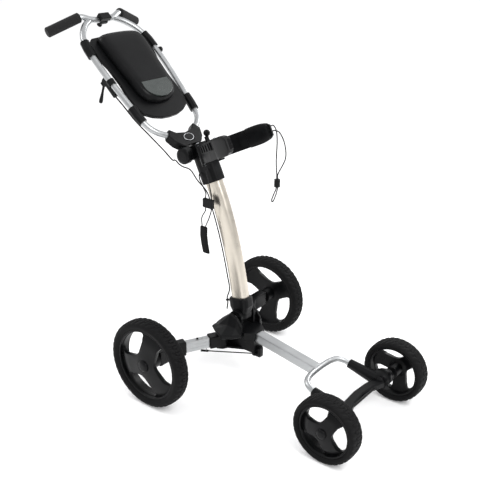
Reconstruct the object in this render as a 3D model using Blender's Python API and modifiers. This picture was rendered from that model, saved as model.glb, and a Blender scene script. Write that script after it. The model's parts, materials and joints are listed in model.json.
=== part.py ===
"""Four-wheel folding golf push cart, without a bag.

Units are metres and +Z is up.  The cart's front points to -Y, and its left and right are those of
the person who pushes it, so the right side is at -X.  All pieces hang on the empty "cart", which
stands on the floor under the middle of the rear axle line; the empty is shifted so that the world
origin lies under the middle of the whole cart.
"""
import math

import bmesh
import bpy
from mathutils import Matrix, Vector

# ---- driving dimensions ---------------------------------------------------------------------
CART_SHIFT_Y = 0.0783         # puts the world origin under the middle of the cart's length
CART_SHIFT_X = 0.0
GAP = 0.0003                  # space left between pieces that touch

REAR_WHEEL_R = 0.145
REAR_TYRE_W = 0.056
REAR_TRACK = 0.624
FRONT_WHEEL_R = 0.103
FRONT_TYRE_W = 0.060
FRONT_TRACK = 0.408
WHEELBASE = 0.587
REAR_AXLE_R = 0.006
FRONT_AXLE_R = 0.005
WHEEL_STEPS = 24

# legs
LEG_SWEEP = math.radians(26.0)            # how far the open legs point backwards
LEG_PIVOT = Vector((0.052, -0.078, 0.145))  # left leg's pivot; the right one is mirrored
LEG_W = 0.023
LEG_H = 0.036
LEG_START = 0.048             # the aluminium beam's ends, measured from the pivot
LEG_END = 0.131
ELBOW_W = 0.032
ELBOW_H = 0.050
ROOT_H = 0.0420
LINK_R = 0.002
LINK_Z = 0.1120
LINK_STUD_AT = 0.056          # the link's stud on the leg, from the leg's pivot
LINK_FOOT = Vector((0.0165, -0.186, LINK_Z))

# column
COLUMN_W = 0.040
COLUMN_D = 0.058
COLUMN_LOW = (-0.114, 0.292)  # y and z where the column leaves the lower sleeve
COLUMN_HIGH = (-0.002, 0.660)
LEAN_LOW = math.radians(10.0)
LEAN_HIGH = math.radians(26.0)
COLUMN_PIVOT = Vector((0.0, -0.124, 0.232))

# handle
HANDLE_PIVOT = Vector((0.0, 0.075, 0.742))
HANDLE_TILT = math.radians(43.0)
TUBE_R = 0.0098
CABLE_R = 0.0021
EYELET = Vector((-0.0196, -0.0755, 0.2750))   # the ring behind the lower sleeve that holds the cable
GRIP_R = 0.0165

# front frame
BEAM_SLOPE = math.radians(9.5)
BEAM_W = 0.034
BEAM_H = 0.032
BEAM_START = Vector((0, -0.1700, 0.1755))
BEAM_LENGTH = 0.2545
YOKE_R = 0.0093
YOKE_END = Vector((0.1035, -0.4735, 0.1300))

# column head, cradle arms and latch
HEAD_W = 0.050
HEAD_D = 0.070
HEAD_TOP = 0.131
LUG_HALF = 0.0225
LUG_R = 0.0215
ARM_PIVOT = (0.0405, 0.026)       # sideways and forwards, in the head's frame
ARM_LEVEL = 0.092
ARM_H = 0.058
LATCH_AT = (0.0300, 0.083)

# handlebar, grips and brake lever
BAR_CENTRE_AT = 0.547
BAR_JOINT = (0.049, 0.551, 0.0040)
GRIP_FROM = (0.082, 0.566, 0.0056)
GRIP_TO = (0.189, 0.563, -0.047)
BRAKE_X = -0.1335
BRAKE_PIVOT_AT = (0.3300, -0.0290)

# cords
BUNGEE_R = 0.0019
BUNGEE_LOCK = Vector((0.1180, -0.1620, 0.6600))
STRAP_BLOCK = Vector((-0.0430, -0.0140, 0.6020))
PULL_TOP = STRAP_BLOCK + Vector((-0.0060, 0.0140, -0.0800))

# angle of each wheel's first window, from forwards
REAR_FIRST_WINDOW = {"left": 88.0, "right": 134.0}
FRONT_FIRST_WINDOW = {"left": 104.0, "right": 118.0}


# ---- scene ----------------------------------------------------------------------------------
def clear_scene():
    for old in list(bpy.data.objects):
        bpy.data.objects.remove(old, do_unlink=True)


def new_collection(name):
    collection = bpy.data.collections.new(name)
    bpy.context.scene.collection.children.link(collection)
    return collection


def new_material(name, colour, roughness, metallic=0.0, alpha=1.0):
    material = bpy.data.materials.new(name)
    material.use_nodes = True
    shader = material.node_tree.nodes["Principled BSDF"]
    shader.inputs["Base Color"].default_value = (*colour, 1.0)
    shader.inputs["Roughness"].default_value = roughness
    shader.inputs["Metallic"].default_value = metallic
    shader.inputs["Alpha"].default_value = alpha
    material.diffuse_color = (*colour, alpha)
    return material


clear_scene()
PARTS = new_collection("golf_push_cart")
CUTTERS = new_collection("cutters")
CART = bpy.data.objects.new("cart", None)
CART.location = (CART_SHIFT_X, CART_SHIFT_Y, 0.0)
PARTS.objects.link(CART)
PIVOTS = {}                   # body name -> its empty and the point it stands on

BLACK_PLASTIC = new_material("black_plastic", (0.022, 0.023, 0.025), 0.38)
CONSOLE_PLASTIC = new_material("console_plastic", (0.028, 0.029, 0.032), 0.45)
DARK_RUBBER = new_material("dark_rubber", (0.018, 0.018, 0.018), 0.85)
TYRE_RUBBER = new_material("tyre_rubber", (0.025, 0.025, 0.024), 0.75)
FOAM = new_material("grip_foam", (0.012, 0.012, 0.012), 0.95)
ALUMINIUM = new_material("brushed_aluminium", (0.62, 0.63, 0.65), 0.32, 1.0)
CHAMPAGNE = new_material("champagne_aluminium", (0.66, 0.62, 0.55), 0.30, 0.9)
STEEL = new_material("zinc_steel", (0.55, 0.56, 0.58), 0.35, 1.0)
BLACK_STEEL = new_material("black_steel", (0.020, 0.020, 0.021), 0.40)
BADGE = new_material("badge_silver", (0.60, 0.61, 0.63), 0.30, 0.8)
LENS = new_material("smoked_lens", (0.10, 0.13, 0.14), 0.12, 0.0, 0.55)
CORD = new_material("black_cord", (0.015, 0.015, 0.015), 0.9)


# ---- shape helpers --------------------------------------------------------------------------
def link_part(thing, material, parent=CART):
    """Put a finished object on the cart, with its own copy of a material."""
    own = material.copy()
    own.name = thing.name
    thing.data.materials.clear()
    thing.data.materials.append(own)
    for collection in list(thing.users_collection):
        collection.objects.unlink(thing)
    PARTS.objects.link(thing)
    thing.parent = parent
    return thing


def object_from_bmesh(name, mesh_maker):
    mesh = bpy.data.meshes.new(name)
    mesh_maker.to_mesh(mesh)
    mesh_maker.free()
    thing = bpy.data.objects.new(name, mesh)
    bpy.context.scene.collection.objects.link(thing)
    return thing


def box(name, size, centre=(0, 0, 0), turn=(0, 0, 0), bevel=0.0, bevel_steps=2):
    """A block with its origin at its centre; its edges are rounded by a Bevel."""
    maker = bmesh.new()
    bmesh.ops.create_cube(maker, size=1.0)
    bmesh.ops.scale(maker, vec=size, verts=maker.verts)
    thing = object_from_bmesh(name, maker)
    thing.location = centre
    thing.rotation_euler = turn
    if bevel:
        round_edges(thing, bevel, bevel_steps)
    return thing


def round_edges(thing, width, steps=2, angle=40.0):
    modifier = thing.modifiers.new("round", "BEVEL")
    modifier.width = width
    modifier.segments = steps
    modifier.limit_method = "ANGLE"
    modifier.angle_limit = math.radians(angle)
    modifier.use_clamp_overlap = True


def axis_turn(axis):
    """The rotation that takes +Z to the given axis."""
    return Vector((0, 0, 1)).rotation_difference(Vector(axis).normalized()).to_euler()


def cylinder(name, radius, length, centre=(0, 0, 0), axis=(0, 0, 1), sides=24, bevel=0.0,
             radius_top=None):
    maker = bmesh.new()
    top = radius if radius_top is None else radius_top
    bmesh.ops.create_cone(maker, cap_ends=True, segments=sides, radius1=radius, radius2=top,
                          depth=length)
    thing = object_from_bmesh(name, maker)
    thing.location = centre
    thing.rotation_euler = axis_turn(axis)
    if bevel:
        round_edges(thing, bevel)
    return thing


def ball(name, radius, centre, segments=16):
    maker = bmesh.new()
    bmesh.ops.create_uvsphere(maker, u_segments=segments, v_segments=segments // 2 + 1, radius=radius)
    thing = object_from_bmesh(name, maker)
    thing.location = centre
    return thing


def turned(name, profile, centre=(0, 0, 0), axis=(0, 0, 1), steps=32):
    """Revolve a profile of (radius, height) points, listed top to bottom on the outer side."""
    maker = bmesh.new()
    row = [maker.verts.new((radius, 0.0, height)) for radius, height in profile]
    for first, second in zip(row, row[1:]):
        maker.edges.new((first, second))
    if profile[0][0] > 0 or profile[-1][0] > 0:
        maker.edges.new((row[-1], row[0]))
    thing = object_from_bmesh(name, maker)
    screw = thing.modifiers.new("turn", "SCREW")
    screw.axis = "Z"
    screw.angle = 2 * math.pi
    screw.steps = steps
    screw.render_steps = steps
    screw.use_merge_vertices = True
    screw.merge_threshold = 0.00005
    thing.location = centre
    thing.rotation_euler = axis_turn(axis)
    return thing


def plate(name, outline, thickness, centre=(0, 0, 0), turn=(0, 0, 0), bevel=0.0, bevel_steps=2):
    """A flat outline in its own XY plane, thickened equally to both sides."""
    curve = bpy.data.curves.new(name, "CURVE")
    curve.dimensions = "2D"
    curve.fill_mode = "BOTH"
    curve.extrude = thickness / 2
    curve.render_resolution_u = 0
    spline = curve.splines.new("POLY")
    spline.points.add(len(outline) - 1)
    for point, (x, y) in zip(spline.points, outline):
        point.co = (x, y, 0.0, 1.0)
    spline.use_cyclic_u = True
    thing = bpy.data.objects.new(name, curve)
    bpy.context.scene.collection.objects.link(thing)
    thing.location = centre
    thing.rotation_euler = turn
    solid = to_mesh(thing)
    if bevel:
        round_edges(solid, bevel, bevel_steps)
    return solid


def tube(name, points, radius, sides=12):
    """A round bar along points, kept as a mesh so that it can be cut and joined."""
    curve = bpy.data.curves.new(name, "CURVE")
    curve.dimensions = "3D"
    curve.bevel_depth = radius
    curve.bevel_resolution = max(0, (sides - 4) // 2)
    curve.use_fill_caps = True
    curve.render_resolution_u = 0
    curve.twist_mode = "MINIMUM"
    spline = curve.splines.new("POLY")
    spline.points.add(len(points) - 1)
    for point, place in zip(spline.points, points):
        point.co = (*place, 1.0)
    thing = bpy.data.objects.new(name, curve)
    bpy.context.scene.collection.objects.link(thing)
    return to_mesh(thing)


def to_mesh(curve_object):
    """Replace a curve object by a mesh of its evaluated shape, with its caps welded on."""
    bpy.context.view_layer.update()
    evaluated = curve_object.evaluated_get(bpy.context.evaluated_depsgraph_get())
    mesh = bpy.data.meshes.new_from_object(evaluated)
    maker = bmesh.new()
    maker.from_mesh(mesh)
    bmesh.ops.remove_doubles(maker, verts=maker.verts, dist=0.000005)
    bmesh.ops.recalc_face_normals(maker, faces=maker.faces)
    maker.to_mesh(mesh)
    maker.free()
    solid = bpy.data.objects.new(curve_object.name, mesh)
    bpy.context.scene.collection.objects.link(solid)
    solid.matrix_world = curve_object.matrix_world
    name = curve_object.name
    bpy.data.objects.remove(curve_object, do_unlink=True)
    solid.name = name
    return solid


def boolean(target, tools, operation, solver):
    for tool in tools:
        modifier = target.modifiers.new(operation.lower(), "BOOLEAN")
        modifier.operation = operation
        modifier.object = tool
        modifier.solver = solver
        for collection in list(tool.users_collection):
            collection.objects.unlink(tool)
        CUTTERS.objects.link(tool)
        tool.hide_render = True
        tool.display_type = "WIRE"
        tool.parent = CART


def cut(target, *tools, solver="EXACT"):
    boolean(target, tools, "DIFFERENCE", solver)


def join(target, *tools, solver="EXACT"):
    boolean(target, tools, "UNION", solver)


def mirrored(point):
    return Vector((-point[0], point[1], point[2]))


def side_point(point, side):
    """A point given for the left side (+X), moved to the wanted side: +1 left, -1 right."""
    return Vector((point[0] * side, point[1], point[2]))


def rounded_path(corners, radii, steps=5):
    """Corner points joined by straight runs, with an arc of the given radius at each inner one."""
    path = [Vector(corners[0])]
    for before, corner, after, radius in zip(corners, corners[1:], corners[2:], radii):
        before, corner, after = Vector(before), Vector(corner), Vector(after)
        to_before = (before - corner).normalized()
        to_after = (after - corner).normalized()
        half = to_before.angle(to_after) / 2
        reach = radius / math.tan(half)
        centre = corner + (to_before + to_after).normalized() * radius / math.sin(half)
        start = corner + to_before * reach - centre
        end = corner + to_after * reach - centre
        for step in range(steps + 1):
            mix = step / steps
            path.append(centre + start.slerp(end, mix).normalized() * radius)
    path.append(Vector(corners[-1]))
    return path


def smooth_path(points, count):
    """Evenly spaced points on a Catmull-Rom curve through the given points."""
    knots = [Vector(point) for point in points]
    ends = [knots[0] * 2 - knots[1]] + knots + [knots[-1] * 2 - knots[-2]]
    dense = []
    for index in range(1, len(ends) - 2):
        a, b, c, d = ends[index - 1:index + 3]
        for step in range(24):
            t = step / 24
            dense.append(0.5 * (2 * b + (c - a) * t + (2 * a - 5 * b + 4 * c - d) * t * t
                                + (3 * b - a - 3 * c + d) * t ** 3))
    dense.append(knots[-1])
    lengths = [0.0]
    for first, second in zip(dense, dense[1:]):
        lengths.append(lengths[-1] + (second - first).length)
    path = []
    cursor = 0
    for index in range(count):
        target = lengths[-1] * index / (count - 1)
        while cursor < len(lengths) - 2 and lengths[cursor + 1] < target:
            cursor += 1
        span = lengths[cursor + 1] - lengths[cursor]
        mix = (target - lengths[cursor]) / span
        path.append(dense[cursor].lerp(dense[cursor + 1], min(max(mix, 0.0), 1.0)))
    return path


def section_loft(name, sections):
    """Join equal rings of points, first to last, into a closed solid."""
    maker = bmesh.new()
    rings = [[maker.verts.new(point) for point in ring] for ring in sections]
    count = len(rings[0])
    for ring, following in zip(rings, rings[1:]):
        for index in range(count):
            after = (index + 1) % count
            maker.faces.new((ring[index], ring[after], following[after], following[index]))
    maker.faces.new(list(reversed(rings[0])))
    maker.faces.new(rings[-1])
    bmesh.ops.recalc_face_normals(maker, faces=maker.faces)
    return object_from_bmesh(name, maker)


def superellipse(width, depth, power=3.0, count=24):
    """An oval outline between an ellipse (power 2) and a rectangle."""
    outline = []
    for index in range(count):
        angle = 2 * math.pi * (index + 0.5) / count
        c, s = math.cos(angle), math.sin(angle)
        x = math.copysign(abs(c) ** (2 / power), c) * width / 2
        y = math.copysign(abs(s) ** (2 / power), s) * depth / 2
        outline.append((x, y))
    return outline


# ---- frames of reference --------------------------------------------------------------------
def column_station(fraction):
    """Point and direction (y, z) on the column's arc, 0 at its foot and 1 at its head."""
    low, high = Vector((0, *COLUMN_LOW)), Vector((0, *COLUMN_HIGH))
    chord = high - low
    start = Vector((0, math.sin(LEAN_LOW), math.cos(LEAN_LOW))) * chord.length
    end = Vector((0, math.sin(LEAN_HIGH), math.cos(LEAN_HIGH))) * chord.length
    t = fraction
    point = (low * (2 * t ** 3 - 3 * t ** 2 + 1) + start * (t ** 3 - 2 * t ** 2 + t)
             + high * (-2 * t ** 3 + 3 * t ** 2) + end * (t ** 3 - t ** 2))
    slope = (low * (6 * t ** 2 - 6 * t) + start * (3 * t ** 2 - 4 * t + 1)
             + high * (-6 * t ** 2 + 6 * t) + end * (3 * t ** 2 - 2 * t))
    return point, slope.normalized()


HEAD_UP = Vector((0, math.sin(LEAN_HIGH), math.cos(LEAN_HIGH)))
HEAD_FORWARD = Vector((0, -math.cos(LEAN_HIGH), math.sin(LEAN_HIGH)))
HEAD_CENTRE = Vector((0, *COLUMN_HIGH))
HANDLE_UP = Vector((0, math.cos(HANDLE_TILT), math.sin(HANDLE_TILT)))
HANDLE_OUT = Vector((0, -math.sin(HANDLE_TILT), math.cos(HANDLE_TILT)))


def head_point(x, forward, up):
    """A point in the frame of the column's head: sideways, forwards and up along the column."""
    return HEAD_CENTRE + Vector((x, 0, 0)) + HEAD_FORWARD * forward + HEAD_UP * up


def handle_point(x, along, out=0.0):
    """A point in the handle's frame: sideways, along it from the pivot, and out of its face."""
    return HANDLE_PIVOT + Vector((x, 0, 0)) + HANDLE_UP * along + HANDLE_OUT * out


HEAD_TURN = Matrix((Vector((1, 0, 0)), -HEAD_FORWARD, HEAD_UP)).transposed().to_euler()
HANDLE_TURN = Matrix((Vector((1, 0, 0)), HANDLE_UP, HANDLE_OUT)).transposed().to_euler()
SIDES = ((1, "left"), (-1, "right"))


# ---- wheels ---------------------------------------------------------------------------------
def window_outline(radius, outer):
    """A rounded opening between two spokes, pointing along +X; it widens towards the rim."""
    edge = [(0.290, 0.0), (0.320, 15.0), (0.400, 27.0), (0.510, 35.0), (0.620, 39.0), (0.700, 37.0)]
    upper = [(share * radius, degrees) for share, degrees in edge] + [(outer, 29.0), (outer, 15.0)]
    points = [(reach * math.cos(math.radians(degrees)), reach * math.sin(math.radians(degrees)))
              for reach, degrees in upper]
    return points + [(outer, 0.0)] + [(x, -y) for x, y in reversed(points[1:])]


def make_wheel(place, side, label, radius, width, centre, axle_r, first_window):
    """A tyre on a dished three-spoke wheel, with its hub cap; the axis runs along X."""
    out = (side, 0, 0)
    seat = radius * 0.80
    shoulder = radius * 0.055
    tyre = turned(f"{place}_tyre_{label}", [
        (seat, width * 0.37), (radius - 2.2 * shoulder, width * 0.49),
        (radius - shoulder, width * 0.45), (radius, width * 0.28),
        (radius, -width * 0.28), (radius - shoulder, -width * 0.45),
        (radius - 2.2 * shoulder, -width * 0.49), (seat, -width * 0.37)], centre, out, WHEEL_STEPS)
    link_part(tyre, TYRE_RUBBER)

    barrel = seat - GAP
    lip = barrel - 0.005
    boss = radius * 0.10 + 0.009
    bore = axle_r + GAP
    face = width * 0.50
    rim = turned(f"{place}_wheel_{label}", [
        (barrel, width * 0.36), (barrel, -width * 0.36), (lip, -width * 0.36),
        (lip, width * 0.02), (boss * 1.6, face - 0.014), (boss, face - 0.018),
        (boss, -face + 0.003), (bore, -face + 0.003), (bore, face),
        (boss, face), (boss * 1.7, face - 0.003), (lip, width * 0.20), (lip, width * 0.36)],
        centre, out, WHEEL_STEPS)
    for index in range(3):
        angle = math.radians(first_window + 120.0 * index)
        hole = plate(f"{place}_{label}_window_{index}", window_outline(radius, lip - 0.0020),
                     width * 1.4)
        facing = Matrix((Vector((0, -math.cos(angle), math.sin(angle))),
                         Vector((0, math.sin(angle), math.cos(angle))),
                         Vector((-1, 0, 0)))).transposed()
        hole.matrix_world = Matrix.Translation(centre) @ facing.to_4x4()
        cut(rim, hole)
    cap_r = boss * 0.82
    cap = turned(f"{place}_hub_cap_{label}", [
        (0.0, face + 0.0075), (cap_r * 0.55, face + 0.0072), (cap_r * 0.86, face + 0.0052),
        (cap_r, face + 0.002), (cap_r, face - 0.004), (0.0, face - 0.004)], centre, out, 16)
    join(rim, cap)
    link_part(rim, BLACK_PLASTIC)


def make_rear_axle(side, label):
    wheel_x = REAR_TRACK / 2
    inner, outer = wheel_x - 0.068, wheel_x + REAR_TYRE_W / 2 - 0.0046
    axle = cylinder(f"rear_axle_{label}", REAR_AXLE_R, outer - inner,
                    (side * (inner + outer) / 2, 0, REAR_WHEEL_R), (1, 0, 0), 20)
    link_part(axle, STEEL)


# ---- rear legs, their pivots and the fold linkage ---------------------------------------------
def leg_angle(side):
    return LEG_SWEEP if side > 0 else math.pi - LEG_SWEEP


def leg_spot(side, along, across=0.0, height=None):
    """A world point on a leg: distance from its pivot along it, and towards its rear side."""
    pivot = side_point(LEG_PIVOT, side)
    direction = Vector((math.cos(leg_angle(side)), math.sin(leg_angle(side)), 0))
    rearward = Vector((-math.sin(LEG_SWEEP) * side, math.cos(LEG_SWEEP), 0))
    spot = pivot + direction * along + rearward * across
    if height is not None:
        spot.z = height
    return spot


def make_leg(side, label):
    pivot = side_point(LEG_PIVOT, side)
    turn = (0, 0, leg_angle(side))

    root = cylinder(f"leg_root_{label}", 0.0200, ROOT_H, pivot, sides=20)
    arm_length = LEG_START - GAP - 0.006
    arm = box(f"leg_root_arm_{label}", (arm_length, 0.034, ROOT_H),
              leg_spot(side, 0.006 + arm_length / 2), turn, 0.003)
    bore = cylinder(f"leg_root_bore_{label}", 0.0043, 0.08, pivot, sides=14)
    join(root, arm)
    cut(root, bore)
    link_part(root, BLACK_PLASTIC)

    length = LEG_END - LEG_START
    beam = box(f"rear_leg_{label}", (length, LEG_W, LEG_H),
               leg_spot(side, (LEG_START + LEG_END) / 2), turn, 0.0025)
    for face in (-1, 1):
        for level in (-0.0045, 0.0075):
            spot = leg_spot(side, (LEG_START + LEG_END) / 2, face * LEG_W / 2)
            groove = box(f"leg_groove_{label}_{face}_{level}", (length * 1.2, 0.0022, 0.0016),
                         spot + Vector((0, 0, level)), turn)
            cut(beam, groove)
    stud_top = LEG_PIVOT.z - LEG_H / 2 + 0.004
    stud_low = LINK_Z - 0.0035
    stud = cylinder(f"leg_stud_{label}", 0.0017, stud_top - stud_low,
                    leg_spot(side, LINK_STUD_AT, 0, (stud_top + stud_low) / 2), sides=12)
    join(beam, stud)
    rivet = turned(f"leg_rivet_{label}", [(0.0, 0.0030), (0.0024, 0.0026), (0.0036, 0.0005),
                                          (0.0036, -0.0020), (0.0, -0.0020)],
                   leg_spot(side, 0.072, 0, LEG_PIVOT.z + LEG_H / 2), steps=12)
    join(beam, rivet)
    link_part(beam, ALUMINIUM)

    start = leg_spot(side, LEG_END + GAP)
    end_x = (REAR_TRACK - REAR_TYRE_W) / 2 - 0.0035
    knee = Vector((start.x + 0.040 * side, -0.0015, 0))
    half = ELBOW_W / 2
    across = leg_spot(side, 0, half) - leg_spot(side, 0)
    outline = [start + across, knee + Vector((0, half, 0)),
               Vector((end_x * side, half, 0)), Vector((end_x * side, -half, 0)),
               knee + Vector((0.006 * side, -half, 0)), start - across]
    elbow = plate(f"leg_elbow_{label}", [(point.x, point.y) for point in outline], ELBOW_H,
                  (0, 0, REAR_WHEEL_R), bevel=0.004)
    axle_bore = cylinder(f"axle_bore_{label}", REAR_AXLE_R + GAP, 0.06,
                         (side * (REAR_TRACK / 2 - 0.0383), 0, REAR_WHEEL_R), (1, 0, 0), 20)
    cut(elbow, axle_bore)
    link_part(elbow, BLACK_PLASTIC)

    pin = turned(f"leg_pivot_pin_{label}", [
        (0.0, 0.0560), (0.0050, 0.0550), (0.0066, 0.0525), (0.0066, 0.0503), (0.0040, 0.0503),
        (0.0040, -0.0285), (0.0, -0.0285)], pivot, steps=14)
    link_part(pin, STEEL)


def make_link(side, label):
    foot = side_point(LINK_FOOT, side)
    stud = leg_spot(side, LINK_STUD_AT, 0, LINK_Z)
    along = (stud - foot).normalized()
    angle = math.atan2(along.y, along.x)
    reach = (stud - foot).length
    rod = cylinder(f"fold_link_{label}", LINK_R, reach - 0.006, foot + along * reach / 2, along, 12)
    eye = cylinder(f"link_eye_{label}", 0.0050, 0.004, foot, sides=16)
    eye_hole = cylinder(f"link_eye_hole_{label}", 0.0022, 0.02, foot, sides=12)
    slot_bar = box(f"link_slot_bar_{label}", (0.026, 0.0095, 0.004), stud + along * 0.0055,
                   (0, 0, angle), 0.001)
    slot = box(f"link_slot_{label}", (0.0175, 0.0052, 0.02), stud + along * 0.0055, (0, 0, angle))
    join(rod, eye, slot_bar)
    cut(rod, eye_hole, slot)
    link_part(rod, BLACK_STEEL)


def join_link_foot(hub):
    """The block under the hub that carries the two studs of the fold links."""
    foot = box("link_foot", (0.020, 0.036, 0.036), (0.0, LINK_FOOT.y - 0.001, 0.1155), bevel=0.003,
               bevel_steps=1)
    ears = box("link_foot_ears", (2 * LINK_FOOT.x + 0.009, 0.010, 0.0035),
               (0, LINK_FOOT.y, LINK_Z - 0.0045), bevel=0.001)
    join(foot, ears)
    for side, label in SIDES:
        stud = cylinder(f"foot_stud_{label}", 0.0017, 0.008, side_point(LINK_FOOT, side), sides=12)
        join(foot, stud)
    join(hub, foot, solver="MANIFOLD")


# ---- base -------------------------------------------------------------------------------------


def upper_body_outline(grow):
    half = [(0.0240, -0.1947), (0.0445, -0.165), (0.0445, -0.112), (0.070, -0.094), (0.074, -0.078),
            (0.066, -0.062), (0.044, -0.052)]
    outline = half + [(-x, y) for x, y in reversed(half)]
    return [(x * grow, y * grow) for x, y in outline]


def make_base_hub():
    hub = box("base_hub", (0.054, 0.140, 0.0605), (0, -0.120, 0.14675), bevel=0.003, bevel_steps=1)
    lower = plate("hub_lower_plate", [
        (-0.020, -0.160), (0.020, -0.160), (0.050, -0.103), (0.066, -0.094), (0.075, -0.078),
        (0.071, -0.062), (0.056, -0.054), (-0.056, -0.054), (-0.071, -0.062), (-0.075, -0.078),
        (-0.066, -0.094), (-0.050, -0.103)], 0.0064, (0, 0, 0.1203))
    upper = plate("hub_upper_body", upper_body_outline(1.0), 0.0240, (0, 0, 0.1800))
    join(hub, lower, upper)
    for side, label in SIDES:
        cheek = cylinder(f"hub_cheek_{label}", 0.0240, 0.0110,
                         (side * 0.0327, COLUMN_PIVOT.y, COLUMN_PIVOT.z), (1, 0, 0), 20)
        web = box(f"hub_cheek_web_{label}", (0.0106, 0.0470, 0.0540),
                  (side * 0.0327, COLUMN_PIVOT.y, COLUMN_PIVOT.z - 0.0272))
        join(hub, cheek, web)
        bore = cylinder(f"hub_leg_bore_{label}", 0.0043, 0.16, side_point(LEG_PIVOT, side), sides=14)
        cut(hub, bore)
    pin_bore = cylinder("hub_pin_bore", 0.0053, 0.12, COLUMN_PIVOT, (1, 0, 0), 16)
    socket = box("hub_beam_socket", (BEAM_W + 2 * GAP, 0.060, BEAM_H + 2 * GAP),
                 BEAM_START + Vector((0, -0.030 * math.cos(BEAM_SLOPE) + 0.0005,
                                      -0.030 * math.sin(BEAM_SLOPE))),
                 (BEAM_SLOPE, 0, 0))
    swing = cylinder("hub_sleeve_room", 0.0262, 0.0536, COLUMN_PIVOT, (1, 0, 0), 20)
    cut(hub, pin_bore, swing, socket)
    join_link_foot(hub)
    link_part(hub, BLACK_PLASTIC)

    pin = turned("column_pivot_pin", [
        (0.0, 0.0440), (0.0075, 0.0434), (0.0085, 0.0415), (0.0085, 0.0386), (0.0050, 0.0386),
        (0.0050, -0.0440), (0.0, -0.0440)], COLUMN_PIVOT, (-1, 0, 0), 16)
    link_part(pin, STEEL)


def make_cradle_wing(side, label):
    """The moulded shoulder that covers a leg's pivot."""
    inner = 0.0450
    sections = []
    for y, low, reach, brow, brow_x, crest in ((-0.054, 0.1930, 0.074, 0.196, 0.060, 0.200),
                                               (-0.076, 0.1745, 0.090, 0.190, 0.066, 0.222),
                                               (-0.112, 0.1730, 0.098, 0.190, 0.066, 0.252),
                                               (-0.140, 0.1740, 0.078, 0.190, 0.060, 0.240),
                                               (-0.160, 0.1780, 0.058, 0.190, 0.053, 0.214)):
        low = max(low, 0.1925) if y > -0.110 else low
        sections.append([(side * inner, y, low), (side * reach, y, low),
                         (side * (reach + 0.001), y, max(low, brow - 0.006) + 0.003),
                         (side * brow_x, y, brow + 0.35 * (crest - brow)),
                         (side * (inner + 0.008), y, crest - 0.004),
                         (side * inner, y, crest)])
    wing = section_loft(f"lower_cradle_{label}", sections)
    round_edges(wing, 0.0018, 1, 30.0)
    hub_room = plate(f"cradle_hub_room_{label}", upper_body_outline(1.012), 0.0246, (0, 0, 0.1800))
    pin_room = cylinder(f"cradle_pin_room_{label}", 0.0076, 0.0240,
                        side_point(LEG_PIVOT, side) + Vector((0, 0, 0.0450)), sides=14)
    cut(wing, hub_room, pin_room)
    link_part(wing, BLACK_PLASTIC)


def make_front_beam():
    forward = Vector((0, -math.cos(BEAM_SLOPE), -math.sin(BEAM_SLOPE)))
    beam = box("front_beam", (BEAM_W, BEAM_LENGTH, BEAM_H), BEAM_START + forward * BEAM_LENGTH / 2,
               (BEAM_SLOPE, 0, 0), 0.004)
    yoke_seat = tube("beam_yoke_seat", yoke_path(), YOKE_R + GAP, 12)
    cut(beam, yoke_seat)
    link_part(beam, ALUMINIUM)


# ---- front yoke and wheel bracket ---------------------------------------------------------------


def yoke_path():
    corners = [mirrored(YOKE_END), (-0.0905, -0.4330, 0.1425), (0.0, -0.4230, 0.1400),
               (0.0905, -0.4330, 0.1425), YOKE_END]
    return rounded_path(corners, (0.030, 0.30, 0.030), 5)


def make_front_yoke():
    yoke = tube("front_yoke", yoke_path(), YOKE_R, 12)
    link_part(yoke, ALUMINIUM)


def make_front_bracket():
    axle = Vector((0, -WHEELBASE, FRONT_WHEEL_R))
    cross = plate("front_axle_bracket", [
        (-0.126, -0.010), (-0.100, -0.016), (-0.055, -0.001), (0.0, 0.005), (0.055, -0.001),
        (0.100, -0.016), (0.126, -0.010), (0.126, 0.014), (0.112, 0.022), (0.055, 0.030),
        (0.0, 0.034), (-0.055, 0.030), (-0.112, 0.022), (-0.126, 0.014)], 0.022, axle, bevel=0.004,
        bevel_steps=1)
    for side, label in SIDES:
        start = side_point(YOKE_END, side)
        end = axle + Vector((0.110 * side, 0.010, 0.003))
        along = (end - start).normalized()
        socket = cylinder(f"bracket_socket_{label}", 0.0150, 0.100, start + along * 0.0505, along, 12,
                          radius_top=0.0215)
        knuckle = cylinder(f"bracket_knuckle_{label}", 0.0240, 0.052,
                           axle + Vector((0.128 * side, 0.0030, 0.0010)), (1, 0, 0), 14)
        neck = cylinder(f"bracket_neck_{label}", 0.0130, 0.028,
                        axle + Vector((0.152 * side, 0, 0)), (1, 0, 0), 12)
        join(cross, socket, knuckle, neck)
    bore = cylinder("bracket_axle_bore", FRONT_AXLE_R + GAP, 0.4, axle, (1, 0, 0), 14)
    yoke_room = tube("bracket_yoke_room", yoke_path(), YOKE_R + GAP, 12)
    cut(cross, bore, yoke_room)
    link_part(cross, BLACK_PLASTIC)

    reach = FRONT_TRACK + FRONT_TYRE_W - 0.0092
    rod = cylinder("front_axle", FRONT_AXLE_R, reach, axle, (1, 0, 0), 18)
    link_part(rod, STEEL)


# ---- column ---------------------------------------------------------------------------------
def column_ring(fraction, width, depth, power=3.0, count=20):
    point, up = column_station(fraction)
    back = Vector((1, 0, 0)).cross(up) * -1
    return [point + Vector((x, 0, 0)) + back * y for x, y in superellipse(width, depth, power, count)]


def make_column():
    wall = 0.0022
    stations = [index / 5 for index in range(6)]
    outer = [column_ring(t, COLUMN_W, COLUMN_D) for t in stations]
    inner = [column_ring(t, COLUMN_W - 2 * wall, COLUMN_D - 2 * wall) for t in reversed(stations)]
    rings = outer + inner
    maker = bmesh.new()
    verts = [[maker.verts.new(point) for point in ring] for ring in rings]
    count = len(rings[0])
    for ring, following in zip(verts, verts[1:] + verts[:1]):
        for index in range(count):
            after = (index + 1) % count
            maker.faces.new((ring[index], ring[after], following[after], following[index]))
    bmesh.ops.recalc_face_normals(maker, faces=maker.faces)
    column = object_from_bmesh("column", maker)
    link_part(column, CHAMPAGNE)


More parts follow.
